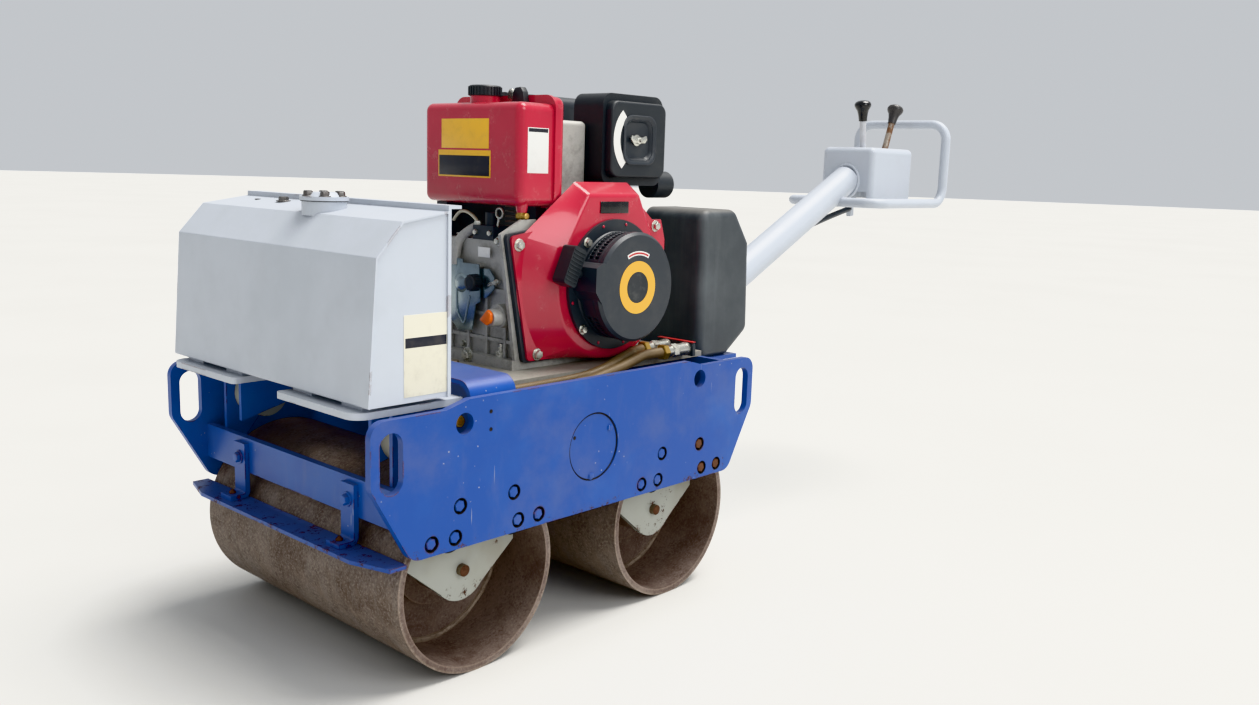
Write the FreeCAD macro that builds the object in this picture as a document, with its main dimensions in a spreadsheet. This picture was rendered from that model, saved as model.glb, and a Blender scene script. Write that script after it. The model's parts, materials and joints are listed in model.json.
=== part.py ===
# Walk-behind double-drum vibratory roller.
# Millimetres. +X points to the water tank (front), +Y to the left side, +Z up.
# Lengths along X are counted from the point midway between the drum axles, and every
# piece is then placed so that the origin is under the middle of the whole machine.

import FreeCAD, Part, Sketcher
import math
import os

SIZES = {
    # rolling gear
    "wheelbase": 450.0,
    "drum_radius": 149.0,
    "drum_width": 550.0,
    "drum_wall": 10.0,
    "web_thick": 12.0,
    "hub_radius": 46.0,
    "hub_flange_radius": 74.0,
    "hub_flange_thick": 11.0,
    "hub_reach": 48.0,
    "hub_gap": 16.0,
    "axle_radius": 20.0,
    "axle_inset": 4.0,
    "running_fit": 0.05,
    "drum_side_gap": 7.0,
    # drum hangers
    "hanger_thick": 12.0,
    "hanger_inset": 50.0,
    "hanger_toe_radius": 50.0,
    "hanger_side": 106.0,
    "hanger_side_low": 25.0,
    "hanger_side_high": 64.0,
    "hanger_top_half": 75.6,
    "hanger_top_rise": 104.0,
    "buffer_radius": 25.0,
    "buffer_spread": 61.0,
    "buffer_rise": 80.0,
    "pin_head_radius": 9.5,
    "pin_head_reach": 9.0,
    # side plates; "over" is counted outwards from a drum's axle
    "plate_thick": 12.0,
    "plate_bottom": 212.0,
    "plate_end_over": 206.0,
    "plate_end_top": 422.0,
    "plate_mid_top": 433.0,
    "plate_shoulder": 329.0,
    "plate_toe_over": 139.0,
    "ramp_front_over": 36.0,
    "ramp_rear_over": 14.0,
    "ramp_run": 42.0,
    "plate_corner": 24.0,
    "toe_corner": 26.0,
    "slot_over": 172.0,
    "slot_height": 360.0,
    "slot_length": 88.0,
    "slot_width": 38.0,
    "lift_hole_over": 45.0,
    "lift_hole_height": 398.0,
    "lift_hole_radius": 16.0,
    "bolt_hole_radius": 12.5,
    "bolt_low_height": 230.0,
    "bolt_high_height": 276.0,
    "bolt_far": 104.0,
    "bolt_near": 61.0,
    "bolt_top": 52.0,
    "bolt_recess": 7.0,
    "cover_height": 318.0,
    "cover_radius": 57.0,
    "cover_recess": 2.0,
    # frame between the plates
    "bar_over": 145.0,
    "bar_thick": 12.0,
    "bar_bottom": 250.0,
    "bar_top": 308.0,
    "bed_top": 430.0,
    "bed_thick": 10.0,
    "bed_half_width": 222.0,
    "bed_front_short": 63.0,
    "cross_rear_over": 137.0,
    "cross_thick": 12.0,
    "cross_height": 92.0,
    "saddle_over": 25.0,
    "saddle_rise": 24.0,
    "saddle_thick": 8.0,
    "saddle_bend": 26.0,
    "saddle_leg": 38.0,
    "exciter_height": 338.0,
    "exciter_radius": 55.0,
    "exciter_flange_radius": 72.0,
    "exciter_flange_thick": 14.0,
    "gusset_thick": 8.0,
    "gusset_inset": 44.0,
    "gusset_depth": 90.0,
    "gusset_foot": 12.0,
    "gusset_foot_width": 14.0,
    "gusset_notch": 50.0,
    "gusset_inner_inset": 95.0,
    "gusset_inner_drop": 91.0,
    "gusset_inner_rise": 23.0,
    "gusset_tube_radius": 38.0,
    "gusset_tube_behind": 53.0,
    "gusset_tube_drop": 64.0,
    # scrapers
    "blade_thick": 6.0,
    "blade_top": 208.0,
    "blade_gap": 5.0,
    "blade_depth": 48.0,
    "blade_half": 288.0,
    "blade_rear_half": 260.0,
    "blade_taper_run": 70.0,
    "blade_taper": 20.0,
    "leg_place": 157.0,
    "leg_width": 34.0,
    "leg_thick": 8.0,
    "leg_top": 300.0,
    "leg_foot": 34.0,
    # water tank
    "rail_thick": 10.0,
    "rail_over": 211.0,
    "rail_gap": 2.0,
    "rail_inner": 62.0,
    "rail_outer": 266.0,
    "rail_corner": 24.0,
    "spacer_height": 7.0,
    "spacer_length": 24.0,
    "spacer_width": 50.0,
    "spacer_front_inset": 34.0,
    "spacer_rear_inset": 8.0,
    "spacer_inner_gap": 12.0,
    "spacer_outer_gap": 16.0,
    "tank_half_width": 278.6,
    "tank_over": 198.4,
    "tank_depth": 137.1,
    "tank_lean": 14.5,
    "tank_shoulder": 203.3,
    "tank_chamfer_in": 43.5,
    "tank_chamfer_top": 251.0,
    "tank_back_height": 263.6,
    "tank_round": 3.0,
    "tank_lip": 3.0,
    "tank_end_sink": 3.0,
    "back_plate_thick": 5.0,
    "back_plate_inset": 3.0,
    "back_plate_rise": 8.0,
    "back_plate_fold": 18.0,
    "filler_inset": 53.7,
    "filler_y": 48.0,
    "filler_radius": 33.0,
    "filler_height": 14.0,
    "filler_root": 8.0,
    "lid_radius": 36.0,
    "lid_thick": 12.0,
    "lid_rim": 6.0,
    # engine placing
    "crank_x": -137.0,
    "crank_rise": 137.0,
    "flange_y": 165.0,
    "shroud_depth": 31.0,
    "recoil_depth": 59.0,
    "shroud_floor_gap": 4.0,
    "shroud_draft": 2.0,
    "shroud_neck_rise": 175.0,
    "shroud_neck_half": 68.0,
    "neck_face_left": 64.0,
    "neck_face_right": 64.0,
    "neck_face_rise": 155.0,
    "shoulder_out": 187.0,
    "shoulder_rise": 86.0,
    "waist_out": 194.0,
    "waist_drop": 18.0,
    "toe_out": 147.0,
    "toe_drop": 122.0,
    "lobe_out": 167.0,
    "lobe_top": 109.0,
    "lobe_width": 37.0,
    "lobe_cut": 12.0,
    "lobe_side": 73.0,
    "neck_cut": 16.0,
    "neck_slope": 14.0,
    "toe_turn": -50.0,
    "shroud_flange_thick": 4.0,
    "plate_black_thick": 8.0,
    "black_margin": 7.0,
    "panel_top_out": 213.0,
    "panel_top_rise": 86.0,
    "panel_low_out": 172.0,
    "panel_low_drop": 122.0,
    "cowl_corner": 14.0,
    "cowl_rim": 10.0,
    "recoil_flange_radius": 113.0,
    "recoil_flange_thick": 6.0,
    "recoil_body_radius": 88.0,
    "recoil_cover_radius": 94.0,
    "recoil_cover_thick": 14.0,
    "recoil_edge": 5.0,
    "louvre_count": 16.0,
    "louvre_width": 5.0,
    "louvre_depth": 8.0,
    "grip_out": 126.0,
    "grip_rise": 39.0,
    "grip_half": 15.0,
    "grip_half_length": 33.0,
    "grip_thick": 28.0,
    "grip_gap": 0.3,
    "grip_round": 6.0,
    "grip_lean": 24.0,
    "stem_radius": 7.0,
    "stem_rise": 25.0,
    "guide_root": 70.0,
    "guide_out": 102.0,
    "guide_top": 37.0,
    "guide_low": 3.0,
    "guide_half": 44.0,
    "guide_neck": 88.0,
    "case_front_out": 182.0,
    "case_rear_out": 85.0,
    "case_inner_y": -92.0,
    "case_rise": 73.0,
    "case_rib": 6.0,
    "case_rib_width": 7.0,
    "case_rib_first": 20.0,
    "case_rib_last": 40.0,
    "case_rib_short": 70.0,
    "case_rib_step": 8.0,
    "case_band_first": 40.0,
    "case_band_pitch": 42.0,
    "case_band_width": 6.0,
    "case_band_inset": 1.0,
    "case_rim_low": 187.0,
    "case_rim_top": 224.0,
    "case_rim_slope": 46.0,
    "case_rim_rise": 112.0,
    "case_rim_width": 77.0,
    "case_rim_thick": 7.0,
    "foot_height": 16.0,
    "foot_reach": 14.0,
    "cylinder_half": 60.0,
    "cylinder_y": 52.0,
    "cylinder_half_y": 72.0,
    "cylinder_height": 94.0,
    "fin_pitch": 9.0,
    "fin_thick": 3.0,
    "fin_depth": 14.0,
    "head_front_out": 57.0,
    "head_rear_out": 17.0,
    "head_low_y": -38.0,
    "head_high_y": 108.0,
    "head_height": 112.0,
    "head_round": 9.0,
    # engine fittings
    "fuel_front_out": 189.0,
    "fuel_length": 103.0,
    "fuel_low_y": -91.0,
    "fuel_high_y": 161.0,
    "fuel_lift": 60.0,
    "fuel_height": 168.0,
    "fuel_round": 14.0,
    "fuel_seam_inset": 26.0,
    "fuel_seam": 3.0,
    "fuel_seam_edge": 4.0,
    "fuel_seam_round": 24.0,
    "fuel_back_rise": 12.0,
    "fuel_back_lift": 6.0,
    "fuel_leg_inset": 18.0,
    "fuel_leg_length": 22.0,
    "fuel_leg_width": 28.0,
    "cap_inset": 42.0,
    "cap_y": 24.0,
    "cap_radius": 29.0,
    "cap_height": 20.0,
    "neck_radius": 25.0,
    "neck_height": 12.0,
    "cleaner_front_out": 23.0,
    "cleaner_length": 160.0,
    "cleaner_low_y": 68.0,
    "cleaner_high_y": 140.0,
    "cleaner_lift": 2.0,
    "cleaner_height": 161.0,
    "cleaner_round": 22.0,
    "cover_depth": 16.0,
    "cover_lift": 14.0,
    "cover_tall": 134.0,
    "cover_inset": 7.0,
    "cover_round": 18.0,
    "dish_depth": 10.0,
    "dish_radius": 36.0,
    "dish_corner": 20.0,
    "cover_edge": 5.0,
    "duct_low": 24.0,
    "duct_tall": 54.0,
    "duct_reach": 60.0,
    "duct_inset": 40.0,
    "exhaust_low": 34.0,
    "exhaust_tall": 40.0,
    "exhaust_rear_inset": 12.0,
    "exhaust_front_inset": 14.0,
    "muffler_front_out": 25.0,
    "muffler_length": 184.0,
    "muffler_low_y": -156.0,
    "muffler_high_y": -46.0,
    "muffler_lift": 34.0,
    "muffler_height": 130.0,
    "muffler_round": 20.0,
    "inlet_radius": 25.0,
    "inlet_wall": 2.5,
    "inlet_reach": 46.0,
    "inlet_bore_depth": 30.0,
    "inlet_offset_y": 6.0,
    "inlet_lift": 2.0,
    "control_inner": 180.0,
    "control_outer": 100.0,
    "control_low": 55.0,
    "control_step": 20.0,
    "control_high": 175.0,
    "control_thick": 3.0,
    "control_stand": 6.0,
    "control_round": 8.0,
    "post_radius": 5.0,
    "post_inset": 10.0,
    "post_height": 165.0,
    "control_knob_y": 105.0,
    "control_knob_height": 138.0,
    "control_knob_radius": 14.0,
    "control_knob_length": 18.0,
    "plug_y": 40.0,
    "plug_height": 88.0,
    "plug_radius": 14.0,
    "plug_length": 18.0,
    "boss_radius": 20.0,
    "boss_length": 26.0,
    "injection_length": 38.0,
    "injection_inset": 4.0,
    "injection_width": 53.0,
    "injection_side": -33.0,
    "injection_height": 24.0,
    "barrel_radius": 11.0,
    "barrel_height": 22.0,
    # oil pump on the right side
    "housing_flange_radius": 70.0,
    "housing_flange_thick": 10.0,
    "housing_neck_radius": 52.0,
    "housing_radius": 46.0,
    "housing_length": 58.0,
    "pump_half_width": 36.0,
    "pump_half_height": 40.0,
    "pump_length": 60.0,
    # hydraulics
    "oil_tank_gap": 13.0,
    "oil_tank_length": 160.0,
    "oil_tank_inner": 56.0,
    "oil_tank_outer": 204.0,
    "oil_tank_drop": 22.0,
    "oil_tank_height": 286.0,
    "oil_tank_round": 24.0,
    "oil_tank_edge": 16.0,
    "oil_low_bevel_run": 64.4,
    "oil_low_bevel_rise": 46.0,
    "oil_top_bevel_run": 55.2,
    "oil_top_bevel_drop": 64.4,
    "oil_top_lean": 8.0,
    "shelf_thick": 8.0,
    "shelf_short": 37.0,
    "hose_radius": 9.0,
    "hose_bend": 120.0,
    "hose_elbow": 28.0,
    "coupler_radius": 12.0,
    "coupler_length": 62.0,
    "coupler_height": 12.5,
    "bracket_x": -298.0,
    "bracket_thick": 8.0,
    "bracket_low_y": 166.0,
    "bracket_high_y": 252.0,
    "bracket_height": 25.0,
    "bracket_round": 9.0,
    # handle
    "pivot_over": 215.0,
    "pivot_z": 375.0,
    "pivot_pin_radius": 10.0,
    "pin_overhang": 6.0,
    "sleeve_radius": 26.0,
    "sleeve_half": 37.0,
    "ear_thick": 12.0,
    "ear_gap": 1.0,
    "ear_radius": 30.0,
    "ear_round": 21.0,
    "ear_root_low": 44.0,
    "ear_root_high": 36.0,
    "tube_radius": 35.0,
    "heel_clearance": 18.0,
    "handle_run": 768.0,
    "handle_rise": 381.0,
    "box_length": 204.0,
    "box_half_width": 75.0,
    "box_drop": 49.0,
    "box_front_lift": 19.0,
    "box_height": 130.0,
    "box_wall": 3.0,
    "box_round": 14.0,
    "bar_radius": 12.0,
    "bar_lead": 66.0,
    "bar_length": 270.0,
    "bar_half": 131.0,
    "bar_drop": 56.0,
    "hoop_height": 205.0,
    "bar_corner": 42.0,
    "lever_radius": 8.0,
    "lever_front_inset": 73.0,
    "lever_front_lean": 9.0,
    "lever_rear_inset": 184.0,
    "lever_rear_lean": -28.0,
    "lever_height": 68.0,
    "lever_root": 2.0,
    "knob_low_radius": 10.5,
    "knob_high_radius": 21.0,
    "knob_length": 52.0,
}

doc = FreeCAD.newDocument("roller")
sheet = doc.addObject("Spreadsheet::Sheet", "Sizes")
for row, (name, value) in enumerate(SIZES.items(), start=1):
    sheet.set("A%d" % row, name)
    sheet.set("B%d" % row, repr(value))
    sheet.setAlias("B%d" % row, name)
doc.recompute()


class Size:
    """A number together with the formula that gives it in the document."""

    def __init__(self, text, value):
        self.text = text
        self.value = float(value)

    def __float__(self):
        return self.value

    def __neg__(self):
        return Size("-(%s)" % self.text, -self.value)

    def __add__(self, other):
        other = size(other)
        return Size("(%s + %s)" % (self.text, other.text), self.value + other.value)

    def __sub__(self, other):
        other = size(other)
        return Size("(%s - %s)" % (self.text, other.text), self.value - other.value)

    def __mul__(self, other):
        other = size(other)
        return Size("(%s * %s)" % (self.text, other.text), self.value * other.value)

    def __truediv__(self, other):
        other = size(other)
        return Size("(%s / %s)" % (self.text, other.text), self.value / other.value)

    def __radd__(self, other):
        return size(other) + self

    def __rsub__(self, other):
        return size(other) - self

    def __rmul__(self, other):
        return size(other) * self


def size(number):
    if isinstance(number, Size):
        return number
    return Size(repr(float(number)), number)


def root(square):
    return Size("sqrt(%s)" % square.text, math.sqrt(square.value))


class Sheet:
    """Reads a driving dimension of the spreadsheet by its name."""

    def __getattr__(self, name):
        return Size("Sizes." + name, sheet.get(name))


S = Sheet()
ZERO = size(0)
half_base = S.wheelbase / 2
plate_end = half_base + S.plate_end_over
plate_toe = half_base + S.plate_toe_over
ramp_front = half_base + S.ramp_front_over
ramp_rear = half_base + S.ramp_rear_over
slot_place = half_base + S.slot_over
lift_hole_place = half_base + S.lift_hole_over
bar_face = half_base + S.bar_over
cross_rear_face = half_base + S.cross_rear_over
bed_front = half_base - S.bed_front_short
saddle_front = half_base + S.saddle_over
saddle_top = S.bed_top + S.saddle_rise
saddle_leg_bottom = S.bed_top - S.saddle_leg
rail_top = S.bed_top
rail_rear = saddle_front + S.rail_gap
rail_front = half_base + S.rail_over
tank_bottom = rail_top + S.spacer_height
tank_front = half_base + S.tank_over
tank_back = tank_front - S.tank_depth
tank_back_top = tank_bottom + S.tank_back_height
tank_chamfer_top = tank_bottom + S.tank_chamfer_top
filler_x = tank_back + S.filler_inset
crank_z = S.bed_top + S.crank_rise
shroud_face_y = S.flange_y + S.shroud_depth
shroud_radius = S.crank_rise - S.shroud_floor_gap
shroud_neck_top = crank_z + S.shroud_neck_rise
panel_top_x = S.crank_x + S.panel_top_out
panel_top_z = crank_z + S.panel_top_rise
panel_low_x = S.crank_x + S.panel_low_out
panel_low_z = crank_z - S.panel_low_drop
case_front = S.crank_x + S.case_front_out
case_rear = S.crank_x - S.case_rear_out
case_top = crank_z + S.case_rise
cylinder_top = case_top + S.cylinder_height
head_front = S.crank_x + S.head_front_out
head_rear = S.crank_x - S.head_rear_out
head_top = cylinder_top + S.head_height
fuel_front = S.crank_x + S.fuel_front_out
fuel_back = fuel_front - S.fuel_length
fuel_bottom = case_top + S.fuel_lift
fuel_top = fuel_bottom + S.fuel_height
fuel_seam_x = fuel_back + S.fuel_seam_inset
cleaner_front = S.crank_x - S.cleaner_front_out
cleaner_rear = cleaner_front - S.cleaner_length
cleaner_bottom = cylinder_top + S.cleaner_lift
cleaner_top = cleaner_bottom + S.cleaner_height
cover_low = cleaner_bottom + S.cover_lift
cover_high = cover_low + S.cover_tall
muffler_front = S.crank_x + S.muffler_front_out
muffler_rear = muffler_front - S.muffler_length
muffler_bottom = cylinder_top + S.muffler_lift
muffler_top = muffler_bottom + S.muffler_height
oil_tank_front = -(cross_rear_face + S.oil_tank_gap)
oil_tank_rear = oil_tank_front - S.oil_tank_length
oil_tank_bottom = S.bed_top - S.oil_tank_drop
oil_tank_top = oil_tank_bottom + S.oil_tank_height
pivot_x = -(half_base + S.pivot_over)
tube_end_x = pivot_x - S.handle_run
tube_end_z = S.pivot_z + S.handle_rise
box_bottom = tube_end_z - S.box_drop
box_top = box_bottom + S.box_height
bar_front_x = tube_end_x + S.bar_lead
bar_rear_x = tube_end_x - S.bar_length
bar_low_z = tube_end_z - S.bar_drop
bar_high_z = bar_low_z + S.hoop_height
shift_x = (S.bar_radius - bar_rear_x - rail_front) / 2
drum_half = S.drum_width / 2
plate_inner = drum_half + S.drum_side_gap
plate_outer = plate_inner + S.plate_thick
hanger_outer = plate_inner - S.hanger_inset
hanger_inner = hanger_outer - S.hanger_thick
web_outer = hanger_inner - S.hub_gap - S.hub_reach
web_inner = web_outer - S.web_thick
axle_height = S.drum_radius
sub_parts = []


def bind(thing, prop, amount):
    thing.setExpression(prop, size(amount).text)


def place(thing, x, y, z):
    """Moves a thing to a point that follows the sheet."""
    for axis, amount in zip("xyz", (x, y, z)):
        bind(thing, "Placement.Base." + axis, amount)


def sub_part(thing, label):
    """Names a finished sub-part and notes it for writing."""
    thing.Label = label
    sub_parts.append(thing)
    return thing


def own_plane(body, role):
    for plane in body.Origin.OriginFeatures:
        if plane.Role == role:
            return plane
    raise ValueError(role)


def new_body(name):
    return doc.addObject("PartDesign::Body", name)


def new_sketch(body, role, height=ZERO):
    """A sketch parallel to one origin plane; height is counted along its normal."""
    sketch = body.newObject("Sketcher::SketchObject", body.Name + "_sketch")
    sketch.AttachmentSupport = [(own_plane(body, role), "")]
    sketch.MapMode = "FlatFace"
    bind(sketch, "AttachmentOffset.Base.z", height)
    return sketch


def hold(sketch, kind, index, spot, amount):
    """Fixes one coordinate of a sketch point to a formula."""
    number = sketch.addConstraint(Sketcher.Constraint(kind, -1, 1, index, spot, float(amount)))
    sketch.setExpression("Constraints[%d]" % number, size(amount).text)


def outline(sketch, corners):
    """A closed polygon whose corners are held to the sheet."""
    points = [FreeCAD.Vector(float(c[0]), float(c[1]), 0) for c in corners]
    first = len(sketch.Geometry)
    count = len(points)
    for i in range(count):
        sketch.addGeometry(Part.LineSegment(points[i], points[(i + 1) % count]), False)
    for i in range(count):
        following = first + (i + 1) % count
        sketch.addConstraint(Sketcher.Constraint("Coincident", first + i, 2, following, 1))
    for i, corner in enumerate(corners):
        hold(sketch, "DistanceX", first + i, 1, corner[0])
        hold(sketch, "DistanceY", first + i, 1, corner[1])


def circle(sketch, a, b, radius):
    index = sketch.addGeometry(
        Part.Circle(FreeCAD.Vector(float(a), float(b), 0), FreeCAD.Vector(0, 0, 1), float(radius)), False)
    hold(sketch, "DistanceX", index, 3, a)
    hold(sketch, "DistanceY", index, 3, b)
    number = sketch.addConstraint(Sketcher.Constraint("Radius", index, float(radius)))
    sketch.setExpression("Constraints[%d]" % number, size(radius).text)


def slot(sketch, a, b, length, width):
    """An upright slot with round ends."""
    half = width / 2
    rise = length / 2 - half
    centre_a, centre_b, r = float(a), float(b), float(half)
    up = float(rise)
    normal = FreeCAD.Vector(0, 0, 1)
    first = len(sketch.Geometry)
    for sign, start in ((1, 0.0), (-1, math.pi)):
        middle = FreeCAD.Vector(centre_a, centre_b + sign * up, 0)
        sketch.addGeometry(Part.ArcOfCircle(Part.Circle(middle, normal, r), start, start + math.pi), False)
    for sign in (-1, 1):
        low = FreeCAD.Vector(centre_a + sign * r, centre_b - up, 0)
        high = FreeCAD.Vector(centre_a + sign * r, centre_b + up, 0)
        sketch.addGeometry(Part.LineSegment(low, high), False)
    top, bottom, left, right = first, first + 1, first + 2, first + 3
    for ends in ((top, 2, left, 2), (top, 1, right, 2), (bottom, 1, left, 1), (bottom, 2, right, 1)):
        sketch.addConstraint(Sketcher.Constraint("Tangent", *ends))
    hold(sketch, "DistanceX", top, 3, a)
    hold(sketch, "DistanceY", top, 3, b + rise)
    hold(sketch, "DistanceX", bottom, 3, a)
    hold(sketch, "DistanceY", bottom, 3, b - rise)
    number = sketch.addConstraint(Sketcher.Constraint("Radius", top, r))
    sketch.setExpression("Constraints[%d]" % number, half.text)


NORMALS = {"XY_Plane": (2, 1), "XZ_Plane": (1, -1), "YZ_Plane": (0, 1)}


def pad_between(body, sketch, role, low, high):
    """Pads a sketch from low to high along its plane's own axis."""
    sign = NORMALS[role][1]
    start = low if sign > 0 else -high
    bind(sketch, "AttachmentOffset.Base.z", start)
    pad = body.newObject("PartDesign::Pad", body.Name + "_pad")
    pad.Profile = sketch
    bind(pad, "Length", high - low)
    doc.recompute()
    return pad


def corner_names(shape, role, corners):
    """Names the straight edges that run along the plane's normal through given corners."""
    normal = NORMALS[role][0]
    flat = [i for i in range(3) if i != normal]
    names = []
    for number, edge in enumerate(shape.Edges, start=1):
        ends = [vertex.Point for vertex in edge.Vertexes]
        if len(ends) != 2 or (ends[0] - ends[1]).Length - abs(ends[0][normal] - ends[1][normal]) < -1e-6:
            continue
        for a, b in corners:
            if all(abs(end[flat[0]] - float(a)) + abs(end[flat[1]] - float(b)) < 1e-3 for end in ends):
                names.append("Edge%d" % number)
    return names


def round_corners(body, feature, role, corners, radius, kind="PartDesign::Fillet"):
    names = corner_names(feature.Shape, role, corners)
    if len(names) != len(corners):
        raise ValueError("corners of " + body.Label)
    rounding = body.newObject(kind, body.Name + "_round")
    rounding.Base = (feature, names)
    bind(rounding, "Radius" if kind.endswith("Fillet") else "Size", radius)
    doc.recompute()
    return rounding


def plate(label, role, corners, low, high, holes=(), slots=(), rounds=(), offset=None):
    """A flat piece: an outline with holes, padded from low to high, with rounded corners."""
    body = new_body(label)
    sketch = new_sketch(body, role)
    outline(sketch, corners)
    for a, b, radius in holes:
        circle(sketch, a, b, radius)
    for a, b, length, width in slots:
        slot(sketch, a, b, length, width)
    feature = pad_between(body, sketch, role, low, high)
    for radius, picks in rounds:
        feature = round_corners(body, feature, role, [corners[i] for i in picks], radius)
    centre = offset or (ZERO, ZERO, ZERO)
    place(body, shift_x + centre[0], centre[1], centre[2])
    return body


def turned(label, profile, centre, along="Y_Axis"):
    """A turned piece about the Y or Z axis through centre; profile is (radius, height)."""
    body = new_body(label)
    sketch = new_sketch(body, "XY_Plane" if along == "Y_Axis" else "XZ_Plane")
    outline(sketch, profile)
    turn = body.newObject("PartDesign::Revolution", label + "_turn")
    turn.Profile = sketch
    turn.ReferenceAxis = (sketch, ["V_Axis"])
    turn.Angle = 360.0
    doc.recompute()
    place(body, shift_x + centre[0], centre[1], centre[2])
    return body


def block(name, low, high):
    """A box between two corner points."""
    box = doc.addObject("Part::Box", name)
    for prop, a, b in zip(("Length", "Width", "Height"), low, high):
        bind(box, prop, size(b) - a)
    place(box, shift_x + low[0], low[1], low[2])
    return box


TURNS = {"x": FreeCAD.Rotation(FreeCAD.Vector(0, 1, 0), 90),
         "y": FreeCAD.Rotation(FreeCAD.Vector(1, 0, 0), -90),
         "z": FreeCAD.Rotation()}


def rod(name, centre, radius, length, along):
    """A cylinder that starts at centre and runs along one axis."""
    piece = doc.addObject("Part::Cylinder", name)
    bind(piece, "Radius", radius)
    bind(piece, "Height", length)
    piece.Placement = FreeCAD.Placement(FreeCAD.Vector(), TURNS[along])
    place(piece, shift_x + centre[0], centre[1], centre[2])
    return piece


def fuse(name, pieces):
    joined = doc.addObject("Part::MultiFuse", name)
    joined.Shapes = pieces
    joined.Refine = True
    doc.recompute()
    return joined


def cut(name, base, tool):
    left = doc.addObject("Part::Cut", name)
    left.Base = base
    left.Tool = tool
    left.Refine = True
    doc.recompute()
    return left


def gather(name, pieces):
    """Solids that don't touch, kept as one node."""
    group = doc.addObject("Part::Compound", name)
    group.Links = pieces
    doc.recompute()
    return group


def soften(name, base, radius, wanted):
    """Rounds the edges that the given test picks."""
    doc.recompute()
    rounded = doc.addObject("Part::Fillet", name)
    rounded.Base = base
    picks = [i for i, edge in enumerate(base.Shape.Edges, start=1) if wanted(edge)]
    rounded.Edges = [(i, float(radius), float(radius)) for i in picks]
    doc.recompute()
    return rounded


def built(name, shape):
    """A piece made in code, standing in machine coordinates."""
    piece = doc.addObject("Part::Feature", name)
    piece.Shape = shape
    place(piece, shift_x, ZERO, ZERO)
    return piece


def bent_tube(points, bend, radius):
    """A round tube along straight runs joined by tangent arcs, as a shape."""
    edges = []
    last = points[0]
    for i in range(1, len(points) - 1):
        back = (points[i - 1] - points[i]).normalize()
        ahead = (points[i + 1] - points[i]).normalize()
        half_turn = (math.pi - back.getAngle(ahead)) / 2
        leg = bend[i - 1] * math.tan(half_turn)
        start = points[i] + back * leg
        end = points[i] + ahead * leg
        inward = (back + ahead).normalize()
        middle = points[i] + inward * (bend[i - 1] / math.cos(half_turn) - bend[i - 1])
        if (start - last).Length > 1e-6:
            edges.append(Part.LineSegment(last, start).toShape())
        edges.append(Part.Arc(start, middle, end).toShape())
        last = end
    edges.append(Part.LineSegment(last, points[-1]).toShape())
    route = Part.Wire(edges)
    direction = points[1] - points[0]
    ring = Part.Wire([Part.Circle(points[0], direction, radius).toShape()])
    return route.makePipeShell([ring], True, False)


# side plates
def side_plate(label, left):
    """A symmetrical flame-cut plate with tie-down slots, holes and counterbored bolt places."""
    corners = [
        (plate_toe, S.plate_bottom),
        (plate_end, S.plate_shoulder),
        (plate_end, S.plate_end_top),
        (ramp_front + S.ramp_run, S.plate_end_top),
        (ramp_front, S.plate_mid_top),
        (-ramp_rear, S.plate_mid_top),
        (-ramp_rear - S.ramp_run, S.plate_end_top),
        (-plate_end, S.plate_end_top),
        (-plate_end, S.plate_shoulder),
        (-plate_toe, S.plate_bottom),
    ]
    low, high = (plate_inner, plate_outer) if left else (-plate_outer, -plate_inner)
    holes = [(side * lift_hole_place, S.lift_hole_height, S.lift_hole_radius) for side in (1, -1)]
    slots = [(side * slot_place, S.slot_height, S.slot_length, S.slot_width) for side in (1, -1)]
    body = plate(label, "XZ_Plane", corners, low, high, holes, slots,
                 [(S.plate_corner, (2, 7)), (S.toe_corner, (0, 1, 8, 9))])
    recess = body.newObject("Sketcher::SketchObject", label + "_bolt_places")
    recess.AttachmentSupport = [(own_plane(body, "XZ_Plane"), "")]
    recess.MapMode = "FlatFace"
    for end in (1, -1):
        for side in (1, -1):
            for reach, height in ((S.bolt_far, S.bolt_low_height), (S.bolt_near, S.bolt_low_height),
                                  (S.bolt_top, S.bolt_high_height)):
                circle(recess, end * S.wheelbase / 2 + side * reach, height, S.bolt_hole_radius)
    sink(body, recess, left, S.bolt_recess, label)
    cover = body.newObject("Sketcher::SketchObject", label + "_cover_place")
    cover.AttachmentSupport = [(own_plane(body, "XZ_Plane"), "")]
    cover.MapMode = "FlatFace"
    circle(cover, ZERO, S.cover_height, S.cover_radius)
    sink(body, cover, left, S.cover_recess, label)
    return sub_part(body, label)


def sink(body, sketch, left, depth, label):
    """Sinks a recess into a side plate's outer face, and makes sure that it cuts."""
    bind(sketch, "AttachmentOffset.Base.z", -plate_outer if left else plate_outer)
    before = body.Shape.Volume
    pocket = body.newObject("PartDesign::Pocket", label + "_recess")
    pocket.Profile = sketch
    pocket.Reversed = left
    bind(pocket, "Length", depth)
    doc.recompute()
    if body.Shape.Volume > before - 1.0:
        raise ValueError("recess of " + label)


side_plate("side_plate_left", True)
side_plate("side_plate_right", False)


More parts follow.
